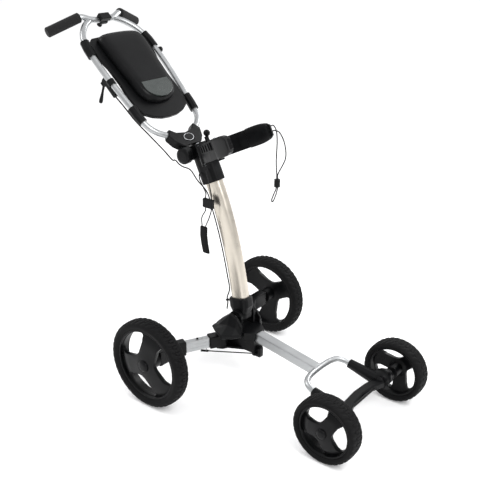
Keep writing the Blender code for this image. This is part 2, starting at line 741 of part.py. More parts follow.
def make_column_foot():
    """The lower sleeve: a tongue on the pivot pin that widens into a socket for the column."""
    top, up = column_station(0.0)
    back = Vector((1, 0, 0)).cross(up) * -1
    base = COLUMN_PIVOT
    rise = (top - base).dot(up)
    drift = (top - base) - up * rise
    sections = []
    for height, depth in ((-0.0235, 0.022), (-0.019, 0.034), (-0.010, 0.045), (0.004, 0.0485),
                          (0.018, 0.060), (0.030, 0.0735), (rise - 0.004, 0.0730),
                          (rise - GAP, 0.0670)):
        mix = max(0.0, min(1.0, height / rise))
        centre = base + up * height + drift * mix
        width = 0.0515 if height < rise - 0.003 else 0.0475
        sections.append([centre + Vector((x, 0, 0)) + back * y
                         for x, y in superellipse(width, depth, 4.0, 20)])
    sleeve = section_loft("column_foot", sections)
    bore = cylinder("column_foot_bore", 0.0053, 0.08, COLUMN_PIVOT, (1, 0, 0), 20)
    cut(sleeve, bore)
    eyelet = cylinder("cable_eyelet", 0.0062, 0.0034, EYELET, up, 16)
    stem = box("cable_eyelet_stem", (0.0060, 0.0150, 0.0034), EYELET - back * 0.0085,
               (-LEAN_LOW, 0, 0))
    eyelet_hole = cylinder("cable_eyelet_hole", CABLE_R + 0.0012, 0.02, EYELET, up, 12)
    join(sleeve, eyelet, stem)
    cut(sleeve, eyelet_hole)
    link_part(sleeve, BLACK_PLASTIC)


# ---- head ---------------------------------------------------------------------------------------


def make_head():
    sections = []
    for up, width, depth in ((GAP, HEAD_W - 0.003, HEAD_D - 0.003), (0.004, HEAD_W, HEAD_D),
                             (0.060, HEAD_W, HEAD_D), (HEAD_TOP - 0.006, HEAD_W, HEAD_D - 0.004),
                             (HEAD_TOP, HEAD_W - 0.010, HEAD_D - 0.016)):
        sections.append([head_point(x, y, up) for x, y in superellipse(width, depth, 4.5, 16)])
    head = section_loft("column_head", sections)
    lug = cylinder("head_lug", LUG_R, 2 * LUG_HALF, HANDLE_PIVOT, (1, 0, 0), 24)
    web = box("head_lug_web", (2 * LUG_HALF, 0.040, 0.043), head_point(0, -0.0150, 0.1075), HEAD_TURN)
    join(head, lug, web)
    for level in (ARM_LEVEL - ARM_H / 2 - 0.0040, ARM_LEVEL + ARM_H / 2 + 0.0040):
        for side, label in SIDES:
            ear = cylinder(f"head_ear_{label}_{level:.3f}", 0.0105, 0.006,
                           head_point(side * ARM_PIVOT[0], ARM_PIVOT[1], level), HEAD_UP, 14)
            bridge = box(f"head_bridge_{label}_{level:.3f}", (0.024, 0.021, 0.006),
                         head_point(side * (ARM_PIVOT[0] - 0.012), ARM_PIVOT[1], level), HEAD_TURN)
            join(head, ear, bridge)
    for side, label in SIDES:
        bore = cylinder(f"head_arm_bore_{label}", 0.0033, 0.12,
                        head_point(side * ARM_PIVOT[0], ARM_PIVOT[1], ARM_LEVEL), HEAD_UP, 12)
        room = cylinder(f"head_yoke_room_{label}", 0.0235, 0.020,
                        HANDLE_PIVOT + Vector((side * (LUG_HALF + 0.010), 0, 0)), (1, 0, 0), 20)
        cut(head, bore, room)
    bolt_bore = cylinder("head_bolt_bore", 0.0043, 0.10, HANDLE_PIVOT, (1, 0, 0), 16)
    latch_room = box("head_latch_room", (0.0164, 0.0386, 0.0660), head_point(0, 0.0408, 0.1060), HEAD_TURN)
    latch_bore = cylinder("head_latch_bore", 0.0023, 0.040, head_point(0, LATCH_AT[0], LATCH_AT[1]),
                          (1, 0, 0), 12)
    cut(head, bolt_bore, latch_room, latch_bore)
    link_part(head, BLACK_PLASTIC)


def make_latch():
    """The lever on the front of the head, with its pin joined to it."""
    lever = box("latch_lever", (0.0150, 0.0080, 0.062), head_point(0, 0.0330, 0.1110), HEAD_TURN, 0.0015, 1)
    hub = cylinder("latch_hub", 0.0075, 0.0150, head_point(0, LATCH_AT[0], LATCH_AT[1]), (1, 0, 0), 14)
    neck = cylinder("latch_neck", 0.0045, 0.020, head_point(0, 0.0360, 0.1430), HEAD_UP, 14)
    knob = ball("latch_knob", 0.0110, head_point(0, 0.0400, 0.1510), 10)
    pin = cylinder("latch_pin", 0.0020, 0.034, head_point(0, LATCH_AT[0], LATCH_AT[1]), (1, 0, 0), 12)
    join(lever, hub, neck, knob, pin)
    link_part(lever, BLACK_PLASTIC)


def arm_spot(side, fraction, across=0.0, up=ARM_LEVEL):
    """A point on an upper cradle arm's middle line; across is towards the outside."""
    start = Vector((ARM_PIVOT[0], ARM_PIVOT[1], 0))
    bend = Vector((0.078, 0.098, 0))
    tip = Vector((0.1030, 0.2050, 0))
    t = fraction
    spot = start * (1 - t) ** 2 + bend * 2 * t * (1 - t) + tip * t ** 2
    slope = ((bend - start) * 2 * (1 - t) + (tip - bend) * 2 * t).normalized()
    spot += Vector((slope.y, -slope.x, 0)) * across
    return head_point(side * spot.x, spot.y, up)


def arm_band(name, side, spans, inner, outer, level=ARM_LEVEL):
    """A curved band: spans lists (fraction, height) and the band lies between two offsets."""
    sections = []
    for fraction, height in spans:
        low, high = level - height / 2, level + height / 2
        sections.append([arm_spot(side, fraction, inner, low), arm_spot(side, fraction, outer, low),
                         arm_spot(side, fraction, outer, high), arm_spot(side, fraction, inner, high)])
    return section_loft(name, sections)


def make_cradle_arm(side, label):
    spans = [(0.0, 0.040)] + [(t / 10, ARM_H) for t in (1, 2, 4, 6, 8)]
    spans += [(0.90, ARM_H * 0.97), (0.955, ARM_H * 0.84), (1.0, ARM_H * 0.55)]
    arm = arm_band(f"cradle_arm_{label}", side, spans, -0.0045, 0.0045)
    knuckle = cylinder(f"arm_knuckle_{label}", 0.0095, ARM_H,
                       head_point(side * ARM_PIVOT[0], ARM_PIVOT[1], ARM_LEVEL), HEAD_UP, 16)
    bore = cylinder(f"arm_bore_{label}", 0.0033, 0.10,
                    head_point(side * ARM_PIVOT[0], ARM_PIVOT[1], ARM_LEVEL), HEAD_UP, 16)
    join(arm, knuckle)
    cut(arm, bore)
    round_edges(arm, 0.0012, 1, 50.0)

    pin = turned(f"arm_pin_{label}", [(0.0, 0.0395), (0.0048, 0.0385), (0.0055, 0.0370),
                                      (0.0055, 0.0365), (0.0030, 0.0365), (0.0030, -0.0362),
                                      (0.0, -0.0362)],
                 head_point(side * ARM_PIVOT[0], ARM_PIVOT[1], ARM_LEVEL), HEAD_UP, 16)
    link_part(pin, STEEL)

    pad_spans = [(0.46, 0.030), (0.50, 0.044), (0.56, 0.050), (0.66, 0.050), (0.76, 0.050),
                 (0.86, 0.049), (0.93, 0.042), (0.975, 0.030)]
    pad = arm_band(f"arm_pad_{label}", side, pad_spans, -0.0125, -0.0040)
    join(arm, pad)

    strap_spans = [(0.13 + 0.135 * index, 0.024) for index in range(4)]
    strap = arm_band(f"arm_strap_{label}", side, strap_spans, 0.0040, 0.0078, ARM_LEVEL + 0.013)
    join(arm, strap)
    for index in range(4):
        at = 0.18 + 0.09 * index
        tooth = arm_band(f"strap_tooth_{label}_{index}", side,
                         [(at, 0.021), (at + 0.040, 0.021)], 0.0070, 0.0105, ARM_LEVEL + 0.013)
        join(arm, tooth)
    link_part(arm, BLACK_PLASTIC)


# ---- handle ---------------------------------------------------------------------------------


def side_tube_path(side):
    knots = [(0.0500, 0.5530), (0.0840, 0.5340), (0.1165, 0.5010), (0.1335, 0.4620),
             (0.1380, 0.4100), (0.1370, 0.3300), (0.1310, 0.2600), (0.1255, 0.2050),
             (0.1230, 0.1620), (0.1120, 0.1240), (0.0900, 0.0985), (0.0640, 0.0830)]
    return smooth_path([handle_point(side * x, along) for x, along in knots], 19)


def handlebar_path():
    right = [handle_point(-x, along, out) for x, along, out in (GRIP_TO, GRIP_FROM)]
    dip = [handle_point(-BAR_JOINT[0], *BAR_JOINT[1:]), handle_point(0, BAR_CENTRE_AT, 0.0),
           handle_point(*BAR_JOINT)]
    left = [handle_point(x, along, out) for x, along, out in (GRIP_FROM, GRIP_TO)]
    inset = 0.010
    right[0] = right[0] + (right[1] - right[0]).normalized() * inset
    left[1] = left[1] + (left[0] - left[1]).normalized() * inset
    return rounded_path(right + dip + left, (0.030, 0.06, 0.12, 0.06, 0.030), 4)


def make_handle_tubes():
    for side, label in SIDES:
        rail = tube(f"handle_tube_{label}", side_tube_path(side), TUBE_R, 10)
        cope = tube(f"handle_cope_{label}", handlebar_path(), TUBE_R + GAP, 10)
        cut(rail, cope)
        link_part(rail, ALUMINIUM)
    bar = tube("handlebar", handlebar_path(), TUBE_R, 10)
    link_part(bar, ALUMINIUM)


def make_grip(side, label):
    start = handle_point(side * GRIP_FROM[0], *GRIP_FROM[1:])
    end = handle_point(side * GRIP_TO[0], *GRIP_TO[1:])
    along = (end - start).normalized()
    start = start + along * 0.006
    length = (end - start).length
    grip = turned(f"grip_{label}", [
        (0.0, length), (GRIP_R * 0.80, length), (GRIP_R, length - 0.004), (GRIP_R, 0.003),
        (GRIP_R * 0.90, 0.0), (TUBE_R + 2 * GAP, 0.0), (TUBE_R + 2 * GAP, length - 0.009),
        (0.0, length - 0.009)], start, along, 20)
    link_part(grip, FOAM)


def make_handle_yoke():
    """The saddle that joins the two tubes to the column's head, with its badge."""
    outline = [(0.0, 0.0715), (0.034, 0.0780), (0.0575, 0.0965), (0.0735, 0.0720), (0.0620, 0.0440),
               (0.0420, 0.0250), (-0.0420, 0.0250), (-0.0620, 0.0440), (-0.0735, 0.0720),
               (-0.0575, 0.0965), (-0.034, 0.0780)]
    yoke = plate("handle_yoke", outline, 0.0300, HANDLE_PIVOT, HANDLE_TURN, 0.003, 1)
    for side, label in SIDES:
        ear = cylinder(f"yoke_ear_{label}", 0.0205, 0.0125,
                       HANDLE_PIVOT + Vector((side * (LUG_HALF + 0.0072), 0, 0)), (1, 0, 0), 20)
        cheek = box(f"yoke_cheek_{label}", (0.0121, 0.0340, 0.0280),
                    handle_point(side * (LUG_HALF + 0.0072), 0.018), HANDLE_TURN)
        join(yoke, ear, cheek, solver="MANIFOLD")
        seat = tube(f"yoke_seat_{label}", side_tube_path(side), TUBE_R + GAP, 10)
        cut(yoke, seat, solver="MANIFOLD")
    bore = cylinder("yoke_bolt_bore", 0.0043, 0.12, HANDLE_PIVOT, (1, 0, 0), 16)
    room = cylinder("yoke_lug_room", LUG_R + 0.0030, 2 * LUG_HALF + 0.0016, HANDLE_PIVOT, (1, 0, 0), 20)
    recess = cylinder("yoke_badge_recess", 0.0215, 0.006, handle_point(0, 0.052, 0.0166), HANDLE_OUT, 20)
    recess.scale = (1.22, 0.78, 1.0)
    recess.rotation_euler = HANDLE_TURN
    knob_room = cylinder("yoke_knob_room", 0.0285, 0.0340, HANDLE_PIVOT + Vector((-0.0533, 0, 0)),
                         (1, 0, 0), 24)
    cut(yoke, bore, room, recess, knob_room, solver="MANIFOLD")
    link_part(yoke, BLACK_PLASTIC)

    maker = bmesh.new()
    bmesh.ops.create_cone(maker, cap_ends=True, segments=20, radius1=0.0209, radius2=0.0203, depth=0.0022)
    bmesh.ops.scale(maker, vec=(1.22, 0.78, 1.0), verts=maker.verts)
    badge = object_from_bmesh("yoke_badge", maker)
    badge.location = handle_point(0, 0.052, 0.0136 + GAP + 0.0011)
    badge.rotation_euler = HANDLE_TURN
    link_part(badge, BADGE)

    bolt = turned("handle_bolt", [
        (0.0, 0.0425), (0.0070, 0.0415), (0.0080, 0.0395), (0.0080, 0.0363), (0.0040, 0.0363),
        (0.0040, -0.0420), (0.0, -0.0420)], HANDLE_PIVOT, (1, 0, 0), 18)
    link_part(bolt, STEEL)


def make_clamp_knob():
    knob = turned("clamp_knob", [
        (0.0, 0.0295), (0.0170, 0.0290), (0.0250, 0.0255), (0.0265, 0.0220), (0.0265, 0.0060),
        (0.0240, 0.0025), (0.0130, 0.0), (0.0045, 0.0), (0.0045, 0.0060), (0.0, 0.0060)],
        HANDLE_PIVOT + Vector((-(LUG_HALF + 0.0140), 0, 0)), (-1, 0, 0), 20)
    link_part(knob, BLACK_PLASTIC)


# ---- console ----------------------------------------------------------------------------------


def console_plate_outline():
    half = [(0.0, 0.1440), (0.035, 0.1460), (0.070, 0.1560), (0.098, 0.1720), (0.112, 0.2000),
            (0.114, 0.2400), (0.110, 0.3000), (0.113, 0.3600), (0.1225, 0.3950), (0.1225, 0.4560),
            (0.100, 0.4780), (0.0, 0.4840)]
    return half + [(-x, along) for x, along in reversed(half[1:-1])]


def make_console_base():
    base = plate("console_base", console_plate_outline(), 0.0120, HANDLE_PIVOT, HANDLE_TURN, 0.002, 1)
    floor = box("console_floor", (0.140, 0.190, 0.0200), handle_point(0, 0.350, -0.0130), HANDLE_TURN,
                0.003, 1)
    join(base, floor)
    for side, label in SIDES:
        path = side_tube_path(side)
        for place, low, high in (("lower", 0.158, 0.216), ("upper", 0.402, 0.464)):
            span = [point for point in path
                    if low - 0.012 < (point - HANDLE_PIVOT).dot(HANDLE_UP) < high + 0.012]
            collar = tube(f"console_collar_{label}_{place}", span, 0.0150, 10)
            join(base, collar)
        cut(base, tube(f"console_seat_{label}", path, TUBE_R + GAP, 10))
    tray = box("console_tray", (0.128, 0.178, 0.0400), handle_point(0, 0.350, 0.0000), HANDLE_TURN)
    cut(base, tray)
    link_part(base, CONSOLE_PLASTIC)


def lid_ring(grow, out):
    """The lid's outline at one height: wide at the top end, narrower at the bottom end."""
    half = [(0.0, 0.1960), (0.030, 0.1985), (0.056, 0.2090), (0.072, 0.2290), (0.079, 0.2600),
            (0.084, 0.3200), (0.089, 0.3800), (0.092, 0.4300), (0.089, 0.4600), (0.074, 0.4740),
            (0.040, 0.4790), (0.0, 0.4800)]
    outline = half + [(-x, along) for x, along in reversed(half[1:-1])]
    middle = 0.3400
    ring = []
    for x, along in outline:
        scaled = middle + (along - middle) * grow
        ring.append(handle_point(x * grow, scaled, out))
    return ring


def make_console_lid():
    lid = section_loft("console_lid", [
        lid_ring(0.985, 0.0066), lid_ring(1.0, 0.0100), lid_ring(0.99, 0.0180),
        lid_ring(0.955, 0.0270), lid_ring(0.88, 0.0335), lid_ring(0.74, 0.0360)])
    hollow = section_loft("console_lid_hollow", [
        lid_ring(0.950, 0.0000), lid_ring(0.950, 0.0160), lid_ring(0.915, 0.0235),
        lid_ring(0.84, 0.0295), lid_ring(0.70, 0.0325)])
    window = plate("console_lid_window", lens_outline(0.0008), 0.03, HANDLE_PIVOT, HANDLE_TURN)
    window.location = handle_point(0, 0, 0.0340)
    cut(lid, hollow, window)
    link_part(lid, CONSOLE_PLASTIC)

    lens = plate("console_lens", lens_outline(0.0), 0.0030, (0, 0, 0), HANDLE_TURN, 0.0008)
    lens.location = handle_point(0, 0, 0.0325)
    link_part(lens, LENS)


def lens_outline(grow):
    """A rounded D: straight across the top, curved below."""
    outline = [(0.058 + grow, 0.2690 + grow), (-0.058 - grow, 0.2690 + grow)]
    for index in range(11):
        angle = math.pi + math.pi * index / 10
        outline.append(((0.060 + grow) * math.cos(angle), 0.2500 + (0.046 + grow) * math.sin(angle)))
    return outline


def make_handle_accessories():
    centre = handle_point(0, BAR_CENTRE_AT, 0)
    mount = box("accessory_mount", (0.044, 0.024, 0.0160), centre + HANDLE_OUT * 0.0150, HANDLE_TURN, 0.0015, 1)
    band = cylinder("accessory_band", 0.0135, 0.0260, centre, (1, 0, 0), 14)
    bar_seat = tube("accessory_bar_seat", handlebar_path(), TUBE_R + GAP, 10)
    join(mount, band)
    cut(mount, bar_seat)
    link_part(mount, BLACK_PLASTIC)

    under = centre - HANDLE_OUT * (0.0135 + GAP)
    knob = turned("mount_knob", [
        (0.0, 0.0130), (0.0060, 0.0125), (0.0085, 0.0105), (0.0085, 0.0050), (0.0060, 0.0025),
        (0.0038, 0.0), (0.0, 0.0)], under, -HANDLE_OUT, 14)
    link_part(knob, BLACK_PLASTIC)

    side_centre = handle_point(0.1520, 0.4000, -0.0020)
    side_knob = turned("console_clamp_knob", [
        (0.0, 0.0125), (0.0070, 0.0120), (0.0095, 0.0100), (0.0095, 0.0035), (0.0070, 0.0010),
        (0.0050, 0.0), (0.0, 0.0)], side_centre, (1, 0, 0), 14)
    link_part(side_knob, BLACK_PLASTIC)


# ---- parking brake ----------------------------------------------------------------------------


def make_brake():
    bracket = box("brake_bracket", (0.0135, 0.0720, 0.0150), handle_point(BRAKE_X, 0.3050, -0.0185),
                  HANDLE_TURN, 0.0015, 1)
    clip = cylinder("brake_clip", 0.0135, 0.020, handle_point(BRAKE_X - 0.0030, 0.3080, 0), HANDLE_UP, 12)
    ears = box("brake_ears", (0.0135, 0.0170, 0.0170), handle_point(BRAKE_X, *BRAKE_PIVOT_AT), HANDLE_TURN,
               0.0015, 1)
    tube_seat = tube("brake_tube_seat", side_tube_path(-1), TUBE_R + GAP, 10)
    slot = box("brake_slot", (0.0064, 0.0300, 0.0260), handle_point(BRAKE_X, 0.3300, -0.0330), HANDLE_TURN)
    bore = cylinder("brake_bore", 0.0023, 0.05, handle_point(BRAKE_X, *BRAKE_PIVOT_AT), (1, 0, 0), 12)
    port = cylinder("brake_cable_port", 0.0026, 0.012, handle_point(BRAKE_X, 0.2700, -0.0210), HANDLE_UP, 12)
    join(bracket, clip, ears)
    cut(bracket, tube_seat, slot, bore, port)
    link_part(bracket, BLACK_PLASTIC)

    pivot = handle_point(BRAKE_X, *BRAKE_PIVOT_AT)
    tip = handle_point(BRAKE_X, 0.3040, -0.0850)
    along = (tip - pivot).normalized()
    lever = cylinder("brake_lever", 0.0042, (tip - pivot).length - 0.016,
                     (pivot + tip) / 2 + along * 0.005, along, 8)
    hub = cylinder("brake_lever_hub", 0.0058, 0.0056, pivot, (1, 0, 0), 14)
    blade = box("brake_lever_blade", (0.0056, 0.0090, 0.0240), pivot + along * 0.0115,
                axis_turn(along), 0.001)
    end = ball("brake_lever_end", 0.0072, tip, 8)
    pin = cylinder("brake_lever_pin", 0.0020, 0.0150, pivot, (1, 0, 0), 12)
    join(lever, hub, blade, end, pin)
    link_part(lever, BLACK_PLASTIC)


def column_side(fraction, sideways, rearward):
    """A world point beside the column: x, and distance behind its middle line."""
    point, up = column_station(fraction)
    back = Vector((1, 0, 0)).cross(up) * -1
    return point + Vector((sideways, 0, 0)) + back * rearward


def around_handle_axis(x, radius, degrees):
    """A point at a distance from the handle's pivot axis; 0 degrees is straight backwards."""
    angle = math.radians(degrees)
    return HANDLE_PIVOT + Vector((x, radius * math.cos(angle), radius * math.sin(angle)))


def make_cables():
    """The brake cable, in two pieces that meet end to end where the handle turns."""
    upper = [handle_point(BRAKE_X, 0.2680, -0.0210), handle_point(-0.1300, 0.2300, -0.0195),
             handle_point(-0.1260, 0.1700, -0.0180), handle_point(-0.1080, 0.1050, -0.0200),
             handle_point(-0.0880, 0.0500, -0.0260), around_handle_axis(-0.0770, 0.0330, -22.0),
             around_handle_axis(-0.0706, 0.0316, -28.0)]
    upper_cable = tube("brake_cable_upper", smooth_path(upper, 22), CABLE_R, 8)
    link_part(upper_cable, CORD)

    lower = [around_handle_axis(-0.0668, 0.0316, -29.0), around_handle_axis(-0.0634, 0.0318, -36.0),
             around_handle_axis(-0.0605, 0.0325, -60.0), around_handle_axis(-0.0570, 0.0350, -85.0),
             head_point(-0.0460, -0.036, 0.060), head_point(-0.0340, -0.034, 0.022),
             column_side(0.94, -0.0225, 0.0230)]
    lower += [column_side(t, -0.0192, 0.0262) for t in (0.80, 0.60, 0.40, 0.20, 0.08)]
    lower += [EYELET + Vector((0, 0.0015, 0.0100)), EYELET, EYELET + Vector((0, -0.0010, -0.0100)),
              EYELET + Vector((0, 0.0020, -0.0330))]
    lower_cable = tube("brake_cable_lower", smooth_path(lower, 34), CABLE_R, 8)
    link_part(lower_cable, CORD)


# ---- free cords ---------------------------------------------------------------------------------


def bungee_exits():
    return (arm_spot(1, 0.985, 0.0068, ARM_LEVEL + 0.012), arm_spot(1, 0.985, 0.0068, ARM_LEVEL - 0.004))


def bungee_route():
    """Down from the left arm's tip, through the cord lock, round the pull loop and back up."""
    first, second = bungee_exits()
    lock = BUNGEE_LOCK
    down = [first, first + Vector((0.010, -0.004, 0.001)), first + Vector((0.018, -0.010, -0.016)),
            first + Vector((0.016, -0.016, -0.050)), first + Vector((0.010, -0.019, -0.110)),
            lock + Vector((-0.0036, 0, 0.030)), lock + Vector((-0.0036, 0, 0.012)),
            lock + Vector((-0.0036, 0, -0.014)), lock + Vector((-0.0100, 0.004, -0.034)),
            lock + Vector((-0.0140, 0.008, -0.050)), lock + Vector((-0.0125, 0.010, -0.0595)),
            lock + Vector((-0.0080, 0.0105, -0.0630))]
    up = [lock + Vector((-0.0025, 0.010, -0.0595)), lock + Vector((0.0015, 0.008, -0.050)),
          lock + Vector((0.0040, 0.004, -0.034)), lock + Vector((0.0036, 0, -0.014)),
          lock + Vector((0.0036, 0, 0.012)), lock + Vector((0.0040, 0, 0.030)),
          second + Vector((0.034, -0.030, -0.090)), second + Vector((0.036, -0.024, -0.045)),
          second + Vector((0.026, -0.012, -0.010)), second + Vector((0.012, -0.004, 0.0)), second]
    return down + up


def make_bungee():
    cord = tube("bungee_cord", smooth_path(bungee_route(), 40), BUNGEE_R, 8)
    link_part(cord, CORD)

    lock = cylinder("cord_lock", 0.0098, 0.0240, BUNGEE_LOCK, (0, 0, 1), 16)
    cut(lock, tube("cord_lock_bore_a", [BUNGEE_LOCK + Vector((-0.0036, 0, 0.02)),
                                        BUNGEE_LOCK + Vector((-0.0036, 0, -0.02))], BUNGEE_R + 0.0007, 10),
        tube("cord_lock_bore_b", [BUNGEE_LOCK + Vector((0.0036, 0, 0.02)),
                                  BUNGEE_LOCK + Vector((0.0036, 0, -0.02))], BUNGEE_R + 0.0007, 10))
    link_part(lock, BLACK_PLASTIC)


def strap_route():
    """Down from the head's front, through the block, round inside the pull and back up."""
    front, rear = (STRAP_BLOCK + Vector((0, across, 0)) for across in (-0.0115, 0.0115))
    down = [head_point(-0.0274, 0.016, 0.044), head_point(-0.0340, 0.0162, 0.0415),
            head_point(-0.0385, 0.0165, 0.028), front + Vector((0, 0, 0.034)),
            front + Vector((0, 0, 0.018)), front + Vector((0, 0, -0.019)),
            front + Vector((-0.0006, 0.0010, -0.028)), front + Vector((-0.0035, 0.0080, -0.052)),
            PULL_TOP + Vector((0, -0.0065, 0.0)),
            PULL_TOP + Vector((0, -0.0055, -0.022))]
    bend = [PULL_TOP + Vector((0, 0, -0.0325))]
    up = [PULL_TOP + Vector((0, 0.0055, -0.022)), PULL_TOP + Vector((0, 0.0070, 0.0)),
          rear + Vector((-0.0045, 0.0120, -0.052)), rear + Vector((-0.0006, 0.0010, -0.028)),
          rear + Vector((0, 0, -0.019)),
          rear + Vector((0, 0, 0.018)), rear + Vector((0, 0, 0.034)),
          head_point(-0.0395, -0.018, 0.020), head_point(-0.0340, -0.019, 0.036),
          head_point(-0.0274, -0.018, 0.040)]
    return down + bend + up


def make_strap():
    cord = tube("strap_cord", smooth_path(strap_route(), 30), BUNGEE_R, 8)
    link_part(cord, CORD)
    block = box("strap_block", (0.0120, 0.0400, 0.0300), STRAP_BLOCK, (0, 0, 0), 0.002)
    for across in (-0.0115, 0.0115):
        spot = STRAP_BLOCK + Vector((0, across, 0))
        cut(block, cylinder(f"strap_block_bore_{across}", BUNGEE_R + 0.0008, 0.06, spot, sides=12))
    link_part(block, BLACK_PLASTIC)

    top = PULL_TOP
    rings = []
    for drop, slide, width, thick in ((0.0, 0.0, 0.026, 0.008), (0.004, 0.0, 0.0270, 0.0095),
                                      (0.030, 0.0005, 0.0270, 0.0095), (0.058, -0.0035, 0.0265, 0.0095),
                                      (0.084, -0.0095, 0.0260, 0.0090), (0.088, -0.0105, 0.0245, 0.0075)):
        rings.append([top + Vector((x, slide + y, -drop)) for x, y in superellipse(thick, width, 4.0, 16)])
    pull = section_loft("strap_pull", rings)
    pocket = box("strap_pull_pocket", (0.0060, 0.0210, 0.0800), top)
    cut(pull, pocket)
    link_part(pull, DARK_RUBBER)


# ---- joints -------------------------------------------------------------------------------------
def hang(pivot_name, pivot, carrier, pieces):
    """Put pieces, with the shapes that cut or extend them, on an empty that stands on their joint."""
    holder = PIVOTS.get(carrier, (CART, Vector()))
    empty = bpy.data.objects.new(f"{pivot_name}_pivot", None)
    empty.empty_display_size = 0.03
    PARTS.objects.link(empty)
    empty.parent = holder[0]
    empty.location = pivot - holder[1]
    PIVOTS[pivot_name] = (empty, pivot)
    waiting = [bpy.data.objects[piece] for piece in pieces]
    while waiting:
        thing = waiting.pop()
        waiting += [step.object for step in thing.modifiers if step.type == "BOOLEAN"]
        thing.parent = empty
        thing.matrix_parent_inverse = Matrix.Translation(-pivot)


def hang_moving_pieces():
    hang("column", COLUMN_PIVOT, "cart",
         ("column", "column_foot", "column_head", "handle_bolt", "arm_pin_left", "arm_pin_right",
          "brake_cable_lower", "strap_cord", "strap_block", "strap_pull"))
    hang("handle", HANDLE_PIVOT, "column",
         ("handle_tube_left", "handle_tube_right", "handlebar", "grip_left", "grip_right",
          "handle_yoke", "yoke_badge", "console_base", "accessory_mount", "brake_bracket",
          "brake_cable_upper"))
    hang("console_lid", handle_point(0, 0.481, 0.009), "handle", ("console_lid", "console_lens"))
    hang("handle_clamp_knob", HANDLE_PIVOT, "column", ("clamp_knob",))
    hang("console_knob", handle_point(0.152, 0.400, -0.002), "handle", ("console_clamp_knob",))
    hang("mount_knob", handle_point(0, 0.547, -0.0138), "handle", ("mount_knob",))
    hang("latch", head_point(0, *LATCH_AT), "column", ("latch_lever",))
    hang("brake_lever", handle_point(BRAKE_X, *BRAKE_PIVOT_AT), "handle", ("brake_lever",))
    for side, label in SIDES:
        hang(f"rear_leg_{label}", side_point(LEG_PIVOT, side), "cart",
             (f"leg_root_{label}", f"rear_leg_{label}", f"leg_elbow_{label}", f"rear_axle_{label}"))
        hang(f"fold_link_{label}", side_point(LINK_FOOT, side), "cart", (f"fold_link_{label}",))
        hang(f"rear_wheel_{label}", Vector((side * REAR_TRACK / 2, 0, REAR_WHEEL_R)),
             f"rear_leg_{label}", (f"rear_tyre_{label}", f"rear_wheel_{label}"))
        hang(f"front_wheel_{label}", Vector((side * FRONT_TRACK / 2, -WHEELBASE, FRONT_WHEEL_R)),
             "cart", (f"front_tyre_{label}", f"front_wheel_{label}"))
        cords = ("bungee_cord", "cord_lock") if side > 0 else ()
        hang(f"cradle_arm_{label}", head_point(side * ARM_PIVOT[0], ARM_PIVOT[1], ARM_LEVEL),
             "column", (f"cradle_arm_{label}", *cords))


# ---- assembly -----------------------------------------------------------------------------------


def build():
    for side, label in SIDES:
        make_wheel("rear", side, label, REAR_WHEEL_R, REAR_TYRE_W,
                   (side * REAR_TRACK / 2, 0, REAR_WHEEL_R), REAR_AXLE_R, REAR_FIRST_WINDOW[label])
        make_wheel("front", side, label, FRONT_WHEEL_R, FRONT_TYRE_W,
                   (side * FRONT_TRACK / 2, -WHEELBASE, FRONT_WHEEL_R), FRONT_AXLE_R,
                   FRONT_FIRST_WINDOW[label])
        make_rear_axle(side, label)
        make_leg(side, label)
        make_link(side, label)
        make_cradle_wing(side, label)
        make_cradle_arm(side, label)
        make_grip(side, label)
    make_base_hub()
    make_front_beam()
    make_front_yoke()
    make_front_bracket()
    make_column()
    make_column_foot()
    make_head()
    make_latch()
    make_handle_tubes()
    make_handle_yoke()
    make_clamp_knob()
    make_console_base()
    make_console_lid()
    make_handle_accessories()
    make_brake()
    make_cables()
    make_bungee()
    make_strap()
    hang_moving_pieces()
    for thing in PARTS.objects:
        if thing.type == "MESH":
            thing.data.shade_smooth()
            thing.data.set_sharp_from_angle(angle=math.radians(35))


build()
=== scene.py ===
"""Finished model of a four-wheel folding golf push cart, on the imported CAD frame."""
import json
import math

import bmesh
import bpy
from mathutils import Matrix, Vector


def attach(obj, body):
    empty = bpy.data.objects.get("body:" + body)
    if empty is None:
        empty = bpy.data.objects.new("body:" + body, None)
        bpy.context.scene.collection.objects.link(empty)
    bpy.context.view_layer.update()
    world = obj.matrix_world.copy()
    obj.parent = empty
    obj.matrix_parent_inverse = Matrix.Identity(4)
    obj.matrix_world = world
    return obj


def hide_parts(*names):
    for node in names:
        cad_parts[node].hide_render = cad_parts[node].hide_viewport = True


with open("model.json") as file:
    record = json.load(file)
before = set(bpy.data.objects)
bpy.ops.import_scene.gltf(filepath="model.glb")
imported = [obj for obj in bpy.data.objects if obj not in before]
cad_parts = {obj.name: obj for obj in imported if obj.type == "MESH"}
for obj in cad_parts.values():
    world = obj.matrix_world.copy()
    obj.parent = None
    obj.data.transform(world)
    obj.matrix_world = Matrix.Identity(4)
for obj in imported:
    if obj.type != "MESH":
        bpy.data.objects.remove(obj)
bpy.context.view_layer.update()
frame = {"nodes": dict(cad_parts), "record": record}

SHIFT = Vector((0.0, 0.0783, 0.0))      # cart coordinates to the frame's

